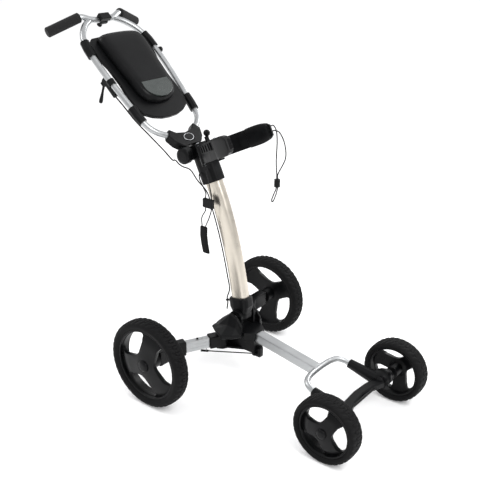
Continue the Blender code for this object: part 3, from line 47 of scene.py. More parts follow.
# sizes shared with the CAD, in metres
TUBE_R = 0.0098
CABLE_R = 0.0021
CORD_R = 0.0019
GRIP_R = 0.0165
LEAN_LOW = math.radians(10.0)
LEAN_HIGH = math.radians(26.0)
HANDLE_TILT = math.radians(43.0)
COLUMN_LOW = Vector((0, -0.114, 0.292)) + SHIFT
COLUMN_HIGH = Vector((0, -0.002, 0.660)) + SHIFT
HANDLE_PIVOT = Vector((0, 0.075, 0.742)) + SHIFT
HEAD_UP = Vector((0, math.sin(LEAN_HIGH), math.cos(LEAN_HIGH)))
HEAD_FORWARD = Vector((0, -math.cos(LEAN_HIGH), math.sin(LEAN_HIGH)))
HANDLE_UP = Vector((0, math.cos(HANDLE_TILT), math.sin(HANDLE_TILT)))
HANDLE_OUT = Vector((0, -math.sin(HANDLE_TILT), math.cos(HANDLE_TILT)))
SIDES = ((1, "left"), (-1, "right"))
REAR_R, REAR_WIDTH, REAR_AXLE_R = 0.145, 0.056, 0.006
FRONT_R, FRONT_WIDTH, FRONT_AXLE_R = 0.103, 0.060, 0.005
REAR_HUB = Vector((0.312, 0, REAR_R)) + SHIFT           # the left wheel's; the right one mirrors it
FRONT_HUB = Vector((0.204, -0.587, FRONT_R)) + SHIFT
TYRE_SEAT = 0.80                                        # where the tyre sits, as a share of the radius
REAR_WINDOW = {"left": 88.0, "right": 134.0}            # the first window's angle, in degrees
FRONT_WINDOW = {"left": 104.0, "right": 118.0}


# ---- camera -------------------------------------------------------------------------------------
def make_camera():
    azimuth, elevation, roll = -0.9116618, 0.3947353, 0.0134882
    right = Vector((math.cos(azimuth), math.sin(azimuth), 0))
    back = Vector((math.sin(azimuth) * math.cos(elevation),
                   -math.cos(azimuth) * math.cos(elevation), math.sin(elevation)))
    up = back.cross(right)
    rolled_right = right * math.cos(roll) + up * math.sin(roll)
    rolled_up = up * math.cos(roll) - right * math.sin(roll)
    data = bpy.data.cameras.new("camera")
    data.sensor_width = 36.0
    data.lens = 59.79
    camera = bpy.data.objects.new("camera", data)
    bpy.context.scene.collection.objects.link(camera)
    pose = Matrix((rolled_right, rolled_up, back)).transposed().to_4x4()
    pose.translation = Vector((-1.842873, -1.536046, 1.460167)) + SHIFT
    camera.matrix_world = pose
    bpy.context.scene.camera = camera


make_camera()


# ---- places on the cart -------------------------------------------------------------------------
def head_point(x, forward, up):
    return COLUMN_HIGH + Vector((x, 0, 0)) + HEAD_FORWARD * forward + HEAD_UP * up


def handle_point(x, along, out=0.0):
    return HANDLE_PIVOT + Vector((x, 0, 0)) + HANDLE_UP * along + HANDLE_OUT * out


def column_station(fraction):
    """Place and direction on the column's curved centre line, fraction from foot to head."""
    chord = (COLUMN_HIGH - COLUMN_LOW).length
    start = Vector((0, math.sin(LEAN_LOW), math.cos(LEAN_LOW))) * chord
    end = HEAD_UP * chord
    t = fraction
    point = (COLUMN_LOW * (2 * t ** 3 - 3 * t ** 2 + 1) + start * (t ** 3 - 2 * t ** 2 + t)
             + COLUMN_HIGH * (-2 * t ** 3 + 3 * t ** 2) + end * (t ** 3 - t ** 2))
    slope = (COLUMN_LOW * (6 * t ** 2 - 6 * t) + start * (3 * t ** 2 - 4 * t + 1)
             + COLUMN_HIGH * (-6 * t ** 2 + 6 * t) + end * (3 * t ** 2 - 2 * t))
    return point, slope.normalized()


def column_side(fraction, sideways, rearward):
    point, up = column_station(fraction)
    return point + Vector((sideways, 0, 0)) + up.cross(Vector((1, 0, 0))) * rearward


def around_handle_axis(x, radius, degrees):
    angle = math.radians(degrees)
    return HANDLE_PIVOT + Vector((x, radius * math.cos(angle), radius * math.sin(angle)))


def arm_spot(side, t, across, up):
    """A place beside the cradle arm's curve, t from 0 at the head to 1 at the tip."""
    start, bend, tip = Vector((0.0405, 0.026, 0)), Vector((0.078, 0.098, 0)), Vector((0.103, 0.205, 0))
    spot = start * (1 - t) ** 2 + bend * 2 * t * (1 - t) + tip * t ** 2
    slope = ((bend - start) * 2 * (1 - t) + (tip - bend) * 2 * t).normalized()
    spot += Vector((slope.y, -slope.x, 0)) * across
    return head_point(side * spot.x, spot.y, up)


def smooth_path(points, count):
    """Evenly spaced points on a Catmull-Rom curve through the given points."""
    knots = [Vector(point) for point in points]
    ends = [knots[0] * 2 - knots[1]] + knots + [knots[-1] * 2 - knots[-2]]
    dense = []
    for index in range(1, len(ends) - 2):
        a, b, c, d = ends[index - 1:index + 3]
        for step in range(24):
            t = step / 24
            dense.append(0.5 * (2 * b + (c - a) * t + (2 * a - 5 * b + 4 * c - d) * t * t
                                + (3 * b - a - 3 * c + d) * t ** 3))
    dense.append(knots[-1])
    lengths = [0.0]
    for first, second in zip(dense, dense[1:]):
        lengths.append(lengths[-1] + (second - first).length)
    path, cursor = [], 0
    for index in range(count):
        target = lengths[-1] * index / (count - 1)
        while cursor < len(lengths) - 2 and lengths[cursor + 1] < target:
            cursor += 1
        span = lengths[cursor + 1] - lengths[cursor]
        mix = 0.0 if span == 0 else (target - lengths[cursor]) / span
        path.append(dense[cursor].lerp(dense[cursor + 1], mix))
    return path


# ---- materials ----------------------------------------------------------------------------------
class Nodes:
    """A material under construction: a Principled shader and the nodes that feed it."""

    def __init__(self, name):
        self.material = bpy.data.materials.new(name)
        self.material.use_nodes = True
        self.tree = self.material.node_tree
        self.shader = self.tree.nodes["Principled BSDF"]

    def add(self, kind, **settings):
        node = self.tree.nodes.new(kind)
        for key, value in settings.items():
            setattr(node, key, value)
        return node

    def link(self, source, target):
        self.tree.links.new(source, target)

    def value(self, **values):
        for key, value in values.items():
            socket = key.replace("_", " ").title().replace("Ior", "IOR")
            self.shader.inputs[socket].default_value = value

    def coordinates(self, scale=(1, 1, 1), output="Object"):
        source = self.add("ShaderNodeTexCoord")
        mapping = self.add("ShaderNodeMapping")
        mapping.inputs["Scale"].default_value = scale
        self.link(source.outputs[output], mapping.inputs["Vector"])
        return mapping.outputs["Vector"]

    def noise(self, vector, scale, detail=3.0, rough=0.5):
        node = self.add("ShaderNodeTexNoise")
        node.inputs["Scale"].default_value = scale
        node.inputs["Detail"].default_value = detail
        node.inputs["Roughness"].default_value = rough
        self.link(vector, node.inputs["Vector"])
        return node.outputs["Fac"]

    def spread(self, source, low, high, start=0.3, end=0.7):
        node = self.add("ShaderNodeMapRange")
        for key, value in zip(("From Min", "From Max", "To Min", "To Max"), (start, end, low, high)):
            node.inputs[key].default_value = value
        self.link(source, node.inputs["Value"])
        return node.outputs["Result"]

    def tint(self, source, dark, light, start=0.3, end=0.7):
        node = self.add("ShaderNodeValToRGB")
        node.color_ramp.elements[0].position = start
        node.color_ramp.elements[1].position = end
        node.color_ramp.elements[0].color = (*dark, 1)
        node.color_ramp.elements[1].color = (*light, 1)
        self.link(source, node.inputs["Fac"])
        self.link(node.outputs["Color"], self.shader.inputs["Base Color"])

    def bump(self, source, distance, strength=1.0, edge=0.0):
        """Height in metres, over corners rounded by edge."""
        node = self.add("ShaderNodeBump")
        node.inputs["Strength"].default_value = strength
        node.inputs["Distance"].default_value = distance
        self.link(source, node.inputs["Height"])
        if edge:
            corner = self.add("ShaderNodeBevel", samples=6)
            corner.inputs["Radius"].default_value = edge
            self.link(corner.outputs["Normal"], node.inputs["Normal"])
        self.link(node.outputs["Normal"], self.shader.inputs["Normal"])


def shade(colour, factor):
    return tuple(min(1.0, channel * factor) for channel in colour)


def plastic(name, colour, rough, grain=900.0, depth=0.00012, edge=0.0009):
    """Moulded plastic: fine spark texture, patchy gloss and corners that catch the light."""
    m = Nodes(name)
    where = m.coordinates()
    patches = m.noise(where, 18.0, 4.0, 0.6)
    m.tint(patches, shade(colour, 0.82), shade(colour, 1.22))
    m.value(specular_ior_level=0.14)
    m.link(m.spread(patches, rough - 0.05, rough + 0.07), m.shader.inputs["Roughness"])
    m.bump(m.noise(where, grain, 2.0, 0.6), depth, 0.5, edge)
    return m.material


def metal(name, colour, rough, stretch=(1, 1, 1), edge=0.0006):
    """Drawn or brushed metal: fine lines along the piece and light handling marks."""
    m = Nodes(name)
    m.value(metallic=1.0)
    lines = m.noise(m.coordinates(stretch), 260.0, 3.0, 0.55)
    marks = m.noise(m.coordinates(), 14.0, 5.0, 0.6)
    m.tint(marks, shade(colour, 0.90), shade(colour, 1.06))
    mixed = m.add("ShaderNodeMath", operation="MULTIPLY_ADD")
    mixed.inputs[1].default_value = 0.45
    m.link(lines, mixed.inputs[0])
    m.link(marks, mixed.inputs[2])
    m.link(m.spread(mixed.outputs[0], rough - 0.06, rough + 0.10, 0.5, 0.95), m.shader.inputs["Roughness"])
    m.bump(lines, 0.00004, 0.35, edge)
    return m.material


def rubber(name, colour, rough, grain=420.0, depth=0.0003):
    m = Nodes(name)
    where = m.coordinates()
    dust = m.noise(where, 22.0, 5.0, 0.65)
    m.tint(dust, shade(colour, 0.75), shade(colour, 1.35))
    m.value(specular_ior_level=0.10)
    m.link(m.spread(dust, rough - 0.08, rough + 0.10), m.shader.inputs["Roughness"])
    m.bump(m.noise(where, grain, 3.0, 0.6), depth, 0.5)
    return m.material


def foam(name):
    """Closed-cell grip foam."""
    m = Nodes(name)
    m.value(roughness=0.93)
    cells = m.add("ShaderNodeTexVoronoi")
    cells.inputs["Scale"].default_value = 900.0
    m.link(m.coordinates(), cells.inputs["Vector"])
    m.tint(cells.outputs["Distance"], (0.0090, 0.0090, 0.0095), (0.0035, 0.0035, 0.0038), 0.1, 0.6)
    m.bump(cells.outputs["Distance"], 0.0004, 0.7)
    return m.material


def braid(name, colour):
    """A woven cord sleeve: two crossing families of threads on the curve's own length."""
    m = Nodes(name)
    m.value(roughness=0.85)
    source = m.add("ShaderNodeTexCoord")
    heights = []
    for turn in (0.9, -0.9):
        mapping = m.add("ShaderNodeMapping")
        mapping.inputs["Scale"].default_value = (700.0, 6.0, 1.0)
        mapping.inputs["Rotation"].default_value = (0, 0, turn * 0.01)
        m.link(source.outputs["UV"], mapping.inputs["Vector"])
        wave = m.add("ShaderNodeTexWave")
        wave.bands_direction = "DIAGONAL"
        wave.inputs["Scale"].default_value = 1.0
        wave.inputs["Phase Offset"].default_value = turn * 3
        m.link(mapping.outputs["Vector"], wave.inputs["Vector"])
        heights.append(wave.outputs["Fac"])
    both = m.add("ShaderNodeMath", operation="MAXIMUM")
    m.link(heights[0], both.inputs[0])
    m.link(heights[1], both.inputs[1])
    m.tint(both.outputs[0], shade(colour, 0.55), shade(colour, 1.5), 0.2, 0.9)
    m.bump(both.outputs[0], 0.0003, 0.8)
    return m.material


def lens(name):
    """Smoked window film with a faint haze."""
    m = Nodes(name)
    m.value(specular_ior_level=0.6, coat_weight=0.3, coat_roughness=0.08)
    haze = m.noise(m.coordinates(), 30.0, 4.0, 0.6)
    m.tint(haze, (0.016, 0.022, 0.020), (0.030, 0.038, 0.035))
    m.link(m.spread(haze, 0.20, 0.32), m.shader.inputs["Roughness"])
    m.bump(m.noise(m.coordinates(), 500.0), 0.00003, 0.3, 0.0010)
    return m.material


BLACK = (0.0032, 0.0034, 0.0038)
FINISH = {
    "black_plastic": plastic("moulded_black", BLACK, 0.32),
    "console_plastic": plastic("console_black", (0.0036, 0.0038, 0.0042), 0.34, 700.0, 0.00018),
    "tyre": rubber("tyre_rubber", (0.0048, 0.0048, 0.0051), 0.62),
    "strap_rubber": rubber("strap_rubber", (0.0060, 0.0060, 0.0064), 0.60, 900.0, 0.0001),
    "aluminium": metal("brushed_aluminium", (0.44, 0.45, 0.455), 0.36, (1.0, 0.08, 0.08)),
    "champagne_aluminium": metal("champagne_anodised", (0.66, 0.61, 0.53), 0.30, (1.0, 0.4, 0.05)),
    "steel": metal("zinc_steel", (0.50, 0.51, 0.53), 0.30),
    "black_steel": plastic("black_painted_steel", (0.0050, 0.0050, 0.0052), 0.34, 300.0, 0.00004, 0.0004),
    "foam": foam("grip_foam"),
    "smoked_lens": lens("smoked_lens"),
    "badge": metal("badge_silver", (0.55, 0.56, 0.58), 0.30),
    "cord": braid("cord_sleeve", (0.0070, 0.0070, 0.0075)),
}
CABLE_JACKET = rubber("cable_jacket", (0.0060, 0.0060, 0.0065), 0.55, 1200.0, 0.00005)


# ---- pieces -------------------------------------------------------------------------------------
def new_object(name, mesh, finish, smooth=40.0):
    thing = bpy.data.objects.new(name, mesh)
    bpy.context.scene.collection.objects.link(thing)
    mesh.materials.clear()
    mesh.materials.append(FINISH[finish])
    mesh.shade_smooth()
    mesh.set_sharp_from_angle(angle=math.radians(smooth))
    return thing


def mesh_from(maker, name):
    bmesh.ops.recalc_face_normals(maker, faces=maker.faces)
    mesh = bpy.data.meshes.new(name)
    maker.to_mesh(mesh)
    maker.free()
    return mesh


def skin(maker, rings, around=False, capped=False):
    """Faces between neighbouring rings of points; around joins the last ring to the first."""
    following_rings = rings[1:] + rings[:1] if around else rings[1:]
    for ring, following in zip(rings, following_rings):
        for k in range(len(ring)):
            after = (k + 1) % len(ring)
            maker.faces.new((ring[k], ring[after], following[after], following[k]))
    if capped:
        maker.faces.new(rings[0])
        maker.faces.new(rings[-1])


def stand_for(thing, body, slot, *nodes):
    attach(thing, body)
    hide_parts(*nodes)
    return thing


def tube_mesh(name, path, radius, finish, sides=28, round_end=0.0):
    """A round tube as a mesh; UV runs along it in metres and once around it."""
    maker = bmesh.new()
    uv = maker.loops.layers.uv.new("along")
    tangents = [(after - before).normalized()
                for before, after in zip([path[0]] + path[:-1], path[1:] + [path[-1]])]
    side = tangents[0].orthogonal().normalized()
    stations = [(place, tangent, radius) for place, tangent in zip(path, tangents)]
    if round_end:
        stations = ([(path[0], tangents[0], radius - round_end)]
                    + [(path[0] + tangents[0] * round_end, tangents[0], radius)] + stations[1:-1]
                    + [(path[-1] - tangents[-1] * round_end, tangents[-1], radius)]
                    + [(path[-1], tangents[-1], radius - round_end)])
    rings, travelled, last = [], 0.0, stations[0][0]
    for place, tangent, reach in stations:
        side = (side - tangent * side.dot(tangent)).normalized()
        other = tangent.cross(side)
        travelled += (place - last).length
        last = place
        rings.append((travelled, [maker.verts.new(
            place + (side * math.cos(2 * math.pi * k / sides) + other * math.sin(2 * math.pi * k / sides))
            * reach) for k in range(sides)]))
    for (low, ring), (high, following) in zip(rings, rings[1:]):
        for k in range(sides):
            after = (k + 1) % sides
            face = maker.faces.new((ring[k], ring[after], following[after], following[k]))
            for loop, spot in zip(face.loops, ((low, k), (low, k + 1), (high, k + 1), (high, k))):
                loop[uv].uv = (spot[0], spot[1] / sides)
    maker.faces.new(list(reversed(rings[0][1])))
    maker.faces.new(rings[-1][1])
    return new_object(name, mesh_from(maker, name), finish)


# ---- cords, in place first ----------------------------------------------------------------------
def bungee_route():
    first, second = arm_spot(1, 0.985, 0.0068, 0.104), arm_spot(1, 0.985, 0.0068, 0.088)
    lock = Vector((0.1180, -0.1620, 0.6600)) + SHIFT
    down = [first, first + Vector((0.010, -0.004, 0.001)), first + Vector((0.018, -0.010, -0.016)),
            first + Vector((0.016, -0.016, -0.050)), first + Vector((0.010, -0.019, -0.110)),
            lock + Vector((-0.0036, 0, 0.030)), lock + Vector((-0.0036, 0, 0.012)),
            lock + Vector((-0.0036, 0, -0.014)), lock + Vector((-0.0100, 0.004, -0.034)),
            lock + Vector((-0.0140, 0.008, -0.050)), lock + Vector((-0.0125, 0.010, -0.0595)),
            lock + Vector((-0.0080, 0.0105, -0.0630))]
    up = [lock + Vector((-0.0025, 0.010, -0.0595)), lock + Vector((0.0015, 0.008, -0.050)),
          lock + Vector((0.0040, 0.004, -0.034)), lock + Vector((0.0036, 0, -0.014)),
          lock + Vector((0.0036, 0, 0.012)), lock + Vector((0.0040, 0, 0.030)),
          second + Vector((0.034, -0.030, -0.090)), second + Vector((0.036, -0.024, -0.045)),
          second + Vector((0.026, -0.012, -0.010)), second + Vector((0.012, -0.004, 0.0)), second]
    return smooth_path(down + up, 220)


def strap_route():
    block = Vector((-0.0430, -0.0140, 0.6020)) + SHIFT
    pull = block + Vector((-0.0060, 0.0140, -0.0800))
    front, rear = (block + Vector((0, across, 0)) for across in (-0.0115, 0.0115))
    route = [head_point(-0.0274, 0.016, 0.044), head_point(-0.0340, 0.0162, 0.0415),
             head_point(-0.0385, 0.0165, 0.028), front + Vector((0, 0, 0.034)),
             front + Vector((0, 0, 0.018)), front + Vector((0, 0, -0.019)),
             front + Vector((-0.0006, 0.0010, -0.028)), front + Vector((-0.0035, 0.0080, -0.052)),
             pull + Vector((0, -0.0065, 0.0)), pull + Vector((0, -0.0055, -0.022)),
             pull + Vector((0, 0, -0.0325)), pull + Vector((0, 0.0055, -0.022)),
             pull + Vector((0, 0.0070, 0.0)), rear + Vector((-0.0045, 0.0120, -0.052)),
             rear + Vector((-0.0006, 0.0010, -0.028)), rear + Vector((0, 0, -0.019)),
             rear + Vector((0, 0, 0.018)), rear + Vector((0, 0, 0.034)),
             head_point(-0.0395, -0.018, 0.020), head_point(-0.0340, -0.019, 0.036),
             head_point(-0.0274, -0.018, 0.040)]
    return smooth_path(route, 200)


def make_cords():
    for name, path, body, pieces in (("bungee_cord", bungee_route(), "cradle_arm_left", ["cord_lock"]),
                                     ("strap_cord", strap_route(), "column", ["strap_block", "strap_pull"])):
        cord = tube_mesh(f"{name}_braided", path, CORD_R, "cord", 14)
        stand_for(cord, body, "cord", name)


make_cords()


def make_brake_cable():
    """The cable as two lengths that meet beside the handle's pivot, one on each side of the fold."""
    upper = [handle_point(-0.1335, 0.2680, -0.0210), handle_point(-0.1300, 0.2300, -0.0195),
             handle_point(-0.1260, 0.1700, -0.0180), handle_point(-0.1080, 0.1050, -0.0200),
             handle_point(-0.0880, 0.0500, -0.0260), around_handle_axis(-0.0770, 0.0330, -22.0),
             around_handle_axis(-0.0690, 0.0316, -28.4)]
    lower = [around_handle_axis(-0.0686, 0.0316, -28.6), around_handle_axis(-0.0634, 0.0318, -36.0),
             around_handle_axis(-0.0605, 0.0325, -60.0), around_handle_axis(-0.0570, 0.0350, -85.0),
             head_point(-0.0460, -0.036, 0.060), head_point(-0.0340, -0.034, 0.022),
             column_side(0.94, -0.0225, 0.0230)]
    lower += [column_side(t, -0.0192, 0.0262) for t in (0.80, 0.60, 0.40, 0.20, 0.08)]
    eyelet = Vector((-0.0196, -0.0755, 0.2750)) + SHIFT
    lower += [eyelet + Vector((0, 0.0015, 0.0100)), eyelet, eyelet + Vector((0, -0.0010, -0.0100)),
              eyelet + Vector((0, 0.0020, -0.0330))]
    for name, route, body in (("brake_cable_upper", upper, "handle"),
                              ("brake_cable_lower", lower, "column")):
        cable = tube_mesh(f"{name}_jacket", smooth_path(route, 150), CABLE_R, "cord", 14)
        cable.data.materials[0] = CABLE_JACKET
        stand_for(cable, body, "cord", name)


make_brake_cable()


# ---- wheels -------------------------------------------------------------------------------------
def lathe(name, profile, centre, side, steps, finish, closed=True):
    """Revolve (radius, outwards) points about an X axis through centre."""
    maker = bmesh.new()
    rings = []
    for k in range(steps):
        angle = 2 * math.pi * k / steps
        rings.append([maker.verts.new(centre + Vector((side * out, reach * math.cos(angle),
                                                       reach * math.sin(angle))))
                      for reach, out in profile])
    last = len(profile) if closed else len(profile) - 1
    for ring, following in zip(rings, rings[1:] + rings[:1]):
        for k in range(last):
            after = (k + 1) % len(profile)
            maker.faces.new((ring[k], ring[after], following[after], following[k]))
    bmesh.ops.remove_doubles(maker, verts=maker.verts, dist=1e-6)
    return new_object(name, mesh_from(maker, name), finish, 32.0)


def soft_step(value, low, high):
    t = max(0.0, min(1.0, (value - low) / (high - low)))
    return t * t * (3 - 2 * t)


def tread_height(across, turn, pitches):
    """0 in a groove and 1 on a block; across runs from -1 to 1 over the tread's width."""
    reach = abs(across)
    offset = 0.5 if across > 0 else 0.0
    phase = (turn * pitches + offset + 0.55 * reach) % 1.0
    lug = soft_step(phase, 0.0, 0.08) * (1 - soft_step(phase, 0.58, 0.66))
    middle = soft_step(((turn * pitches * 2 + 0.35 * across) % 1.0), 0.0, 0.12)
    middle *= 1 - soft_step(((turn * pitches * 2 + 0.35 * across) % 1.0), 0.80, 0.92)
    centre_share = 1 - soft_step(reach, 0.26, 0.31)
    groove = soft_step(reach, 0.31, 0.35)
    return max(middle * centre_share, lug * groove)


def make_tyre(place, side, label, radius, width, centre, pitches):
    """A rubber tyre with chunky slanted blocks, on the CAD tyre's section."""
    seat = radius * TYRE_SEAT
    depth = radius * 0.019
    outline = [(seat, 0.37), (seat + 0.3 * (radius - seat), 0.465), (radius * 0.905, 0.490)]
    half = 15
    crown = []
    for k in range(2 * half + 1):
        across = 1 - k / half
        drop = 1 - (1 - abs(across) ** 3.2) ** (1 / 2.2)
        crown.append((radius - drop * radius * 0.075, 0.468 * across, across))
    maker = bmesh.new()
    per_pitch = 12
    steps = pitches * per_pitch
    rings = []
    for k in range(steps):
        angle = 2 * math.pi * k / steps
        row = [(reach, out * width) for reach, out in outline]
        for reach, out, across in crown:
            height = tread_height(across, k / steps, pitches)
            row.append((reach - depth * (1 - height) * (1 - abs(across) ** 5), out * width))
        row += [(reach, -out * width) for reach, out in reversed(outline)]
        rings.append([maker.verts.new(centre + Vector((side * out, reach * math.cos(angle),
                                                       reach * math.sin(angle)))) for reach, out in row])
    skin(maker, rings, around=True)
    tyre = new_object(f"{place}_tyre_{label}_treaded", mesh_from(maker, "tyre"), "tyre", 50.0)
    stand_for(tyre, f"{place}_wheel_{label}", "tyre", f"{place}_tyre_{label}")


def window_outline(radius, outer):
    """A rounded opening between two spokes, pointing along +X; it widens towards the rim."""
    edge = [(0.290, 0.0), (0.320, 15.0), (0.400, 27.0), (0.510, 35.0), (0.620, 39.0), (0.700, 37.0)]
    upper = [Vector((share * radius, degrees, 0)) for share, degrees in edge]
    upper += [Vector((outer, 29.0, 0)), Vector((outer, 15.0, 0)), Vector((outer, 0.0, 0))]
    upper = smooth_path(upper, 26)
    points = [(min(p.x, outer) * math.cos(math.radians(p.y)), min(p.x, outer) * math.sin(math.radians(p.y)))
              for p in upper]
    return points + [(x, -y) for x, y in reversed(points[1:-1])]


def cut_with(thing, tool):
    step = thing.modifiers.new("cut", "BOOLEAN")
    step.operation = "DIFFERENCE"
    step.solver = "EXACT"
    step.object = tool


def make_wheel(place, side, label, radius, width, centre, axle_r, first_window):
    """A dished three-spoke wheel with rounded windows, a lipped rim and a hub cap."""
    seat = radius * TYRE_SEAT
    barrel = seat - 0.0003
    lip = barrel - 0.005
    boss = radius * 0.10 + 0.009
    bore = axle_r + 0.0003
    face = width * 0.50
    front = [(boss, face), (boss * 1.25, face - 0.0004), (boss * 1.7, face - 0.003),
             (lip * 0.62, face - 0.0045), (lip * 0.80, face * 0.72), (lip * 0.93, width * 0.235),
             (lip, width * 0.20)]
    profile = [(barrel, width * 0.36), (barrel, -width * 0.36), (lip, -width * 0.36),
               (lip, width * 0.02), (lip * 0.8, width * 0.10), (boss * 1.6, face - 0.014),
               (boss, face - 0.018), (boss, -face + 0.003), (bore, -face + 0.003), (bore, face)]
    profile += front + [(lip, width * 0.345), (lip + 0.0012, width * 0.36)]
    wheel = lathe(f"{place}_wheel_{label}_moulded", profile, centre, side, 96, "black_plastic")
    cutters = []
    for index in range(3):
        angle = math.radians(first_window + 120.0 * index)
        across = Vector((0, -math.cos(angle), math.sin(angle)))
        out = Vector((0, math.sin(angle), math.cos(angle)))
        maker = bmesh.new()
        ends = []
        for x in (-width * 0.7, width * 0.7):
            ends.append([maker.verts.new(centre + Vector((x, 0, 0)) + across * a + out * b)
                         for a, b in window_outline(radius, lip - 0.0020)])
        skin(maker, ends, capped=True)
        tool = new_object(f"{place}_{label}_window_tool_{index}", mesh_from(maker, "tool"), "black_plastic")
        cutters.append(tool)
        cut_with(wheel, tool)
    soften = wheel.modifiers.new("soften", "BEVEL")
    soften.width = radius * 0.011
    soften.segments = 3
    soften.limit_method = "ANGLE"
    soften.angle_limit = math.radians(42)
    soften.harden_normals = False
    bake(wheel, cutters)
    cap_r = boss * 0.82
    cap = lathe(f"{place}_hub_cap_{label}", [
        (0.00001, face + 0.0075), (cap_r * 0.35, face + 0.0075), (cap_r * 0.62, face + 0.0071),
        (cap_r * 0.70, face + 0.0062), (cap_r * 0.86, face + 0.0052), (cap_r * 0.97, face + 0.0036),
        (cap_r, face + 0.002), (cap_r, face - 0.004), (0.00001, face - 0.004)], centre, side, 48,
        "black_plastic", False)
    stand_for(wheel, f"{place}_wheel_{label}", "black_plastic", f"{place}_wheel_{label}")
    stand_for(cap, f"{place}_wheel_{label}", "black_plastic", f"{place}_wheel_{label}")


def bake(thing, tools=()):
    """Keep the shape that the modifiers give, and drop them with their helper objects."""
    bpy.context.view_layer.update()
    shape = bpy.data.meshes.new_from_object(thing.evaluated_get(bpy.context.evaluated_depsgraph_get()))
    thing.modifiers.clear()
    thing.data = shape
    shape.shade_smooth()
    shape.set_sharp_from_angle(angle=math.radians(32))
    for tool in tools:
        bpy.data.objects.remove(tool, do_unlink=True)


for SIDE, LABEL in SIDES:
    REAR = Vector((SIDE * REAR_HUB.x, REAR_HUB.y, REAR_HUB.z))
    FRONT = Vector((SIDE * FRONT_HUB.x, FRONT_HUB.y, FRONT_HUB.z))
    make_tyre("rear", SIDE, LABEL, REAR_R, REAR_WIDTH, REAR, 42)
    make_tyre("front", SIDE, LABEL, FRONT_R, FRONT_WIDTH, FRONT, 32)
    make_wheel("rear", SIDE, LABEL, REAR_R, REAR_WIDTH, REAR, REAR_AXLE_R, REAR_WINDOW[LABEL])
    make_wheel("front", SIDE, LABEL, FRONT_R, FRONT_WIDTH, FRONT, FRONT_AXLE_R, FRONT_WINDOW[LABEL])


# ---- handle tubes, grips and column -------------------------------------------------------------
def make_handle():
    for side, label in SIDES:
        knots = [(0.0500, 0.5530), (0.0840, 0.5340), (0.1165, 0.5010), (0.1335, 0.4620),
                 (0.1380, 0.4100), (0.1370, 0.3300), (0.1310, 0.2600), (0.1255, 0.2050),
                 (0.1230, 0.1620), (0.1120, 0.1240), (0.0900, 0.0985), (0.0640, 0.0830)]
        path = smooth_path([handle_point(side * x, along) for x, along in knots], 70)
        rail = tube_mesh(f"handle_tube_{label}_drawn", path, TUBE_R, "aluminium")
        stand_for(rail, "handle", "aluminium", f"handle_tube_{label}")
        start, end = handle_point(side * 0.082, 0.566, 0.0056), handle_point(side * 0.189, 0.563, -0.047)
        along = (end - start).normalized()
        line = [start + along * (0.006 + 0.0021 * k) for k in range(53)]
        line.append(end + along * 0.006)
        grip = tube_mesh(f"grip_{label}_foam", line, GRIP_R, "foam", 36, 0.0022)
        stand_for(grip, "handle", "foam", f"grip_{label}")


def column_ring(fraction, width, depth, count=64):
    """The column's section, a rounded rectangle, as points round its centre line."""
    point, up = column_station(fraction)
    back = up.cross(Vector((1, 0, 0)))
    ring = []
    for k in range(count):
        angle = 2 * math.pi * (k + 0.5) / count
        c, s = math.cos(angle), math.sin(angle)
        ring.append(point + Vector((math.copysign(abs(c) ** (2 / 3), c) * width / 2, 0, 0))
                    + back * math.copysign(abs(s) ** (2 / 3), s) * depth / 2)
    return ring


def make_column():
    maker = bmesh.new()
    stations = [k / 40 for k in range(41)]
    rings = [column_ring(t, 0.040, 0.058) for t in stations]
    rings += [column_ring(t, 0.0356, 0.0536) for t in reversed(stations)]
    verts = [[maker.verts.new(point) for point in ring] for ring in rings]
    skin(maker, verts, around=True)
    column = new_object("column_extrusion", mesh_from(maker, "column"), "champagne_aluminium")
    stand_for(column, "column", "champagne_aluminium", "column")


make_handle()
make_column()


# ---- console lid, yoke and small mouldings ------------------------------------------------------
def make_badge():
    """A dark oval plate with a plain raised silver ring round it."""
    centre = handle_point(0, 0.052, 0.0)
    badge_mesh = frame["nodes"]["yoke_badge"].data
    top = max((vertex.co - centre).dot(HANDLE_OUT) for vertex in badge_mesh.vertices)
    half_width, half_length, count = 1.20, 0.76, 64
    for name, rows, finish in (
            ("badge_plate", ((0.0001, -0.0005), (0.0195, -0.0005), (0.0200, -0.0016)), "black_plastic"),
            ("badge_ring", ((0.0158, -0.0007), (0.0161, -0.0001), (0.0170, 0.0), (0.0178, -0.0001),
                            (0.0181, -0.0007)), "badge")):
        maker = bmesh.new()
        rings = []
        for reach, height in rows:
            rings.append([maker.verts.new(
                centre + Vector((reach * half_width * math.cos(2 * math.pi * k / count), 0, 0))
                + HANDLE_UP * reach * half_length * math.sin(2 * math.pi * k / count)
                + HANDLE_OUT * (top + height)) for k in range(count)])
        skin(maker, rings)
        piece = new_object(name, mesh_from(maker, name), finish)
        stand_for(piece, "handle", "badge", "yoke_badge")


def make_arm_caps():
    """The moulded end of each cradle arm: a thicker, rounded cap over band and pad."""
    for side, label in SIDES:
        maker = bmesh.new()
        rings = []
        count = 48
        for t, grow, lift in ((0.600, -0.0006, 0.0), (0.605, 0.0008, 0.0012), (0.620, 0.0014, 0.0020),
                              (0.70, 0.0016, 0.0024), (0.80, 0.0016, 0.0022), (0.88, 0.0014, 0.0005),
                              (0.93, 0.0010, -0.0030), (0.958, 0.0004, -0.0080), (0.970, -0.0010, -0.0125)):
            ring = []
            for k in range(count):
                angle = 2 * math.pi * (k + 0.5) / count
                c, s = math.cos(angle), math.sin(angle)
                thick = math.copysign(abs(c) ** 0.4, c) * (0.0087 + grow) - 0.0040
                tall = math.copysign(abs(s) ** 0.4, s) * (0.029 + lift)
                ring.append(maker.verts.new(arm_spot(side, t, thick, 0.092 + tall)))
            rings.append(ring)
        skin(maker, rings, capped=True)
        pad = new_object(f"arm_cap_{label}", mesh_from(maker, "arm_cap"), "black_plastic")
        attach(pad, f"cradle_arm_{label}")


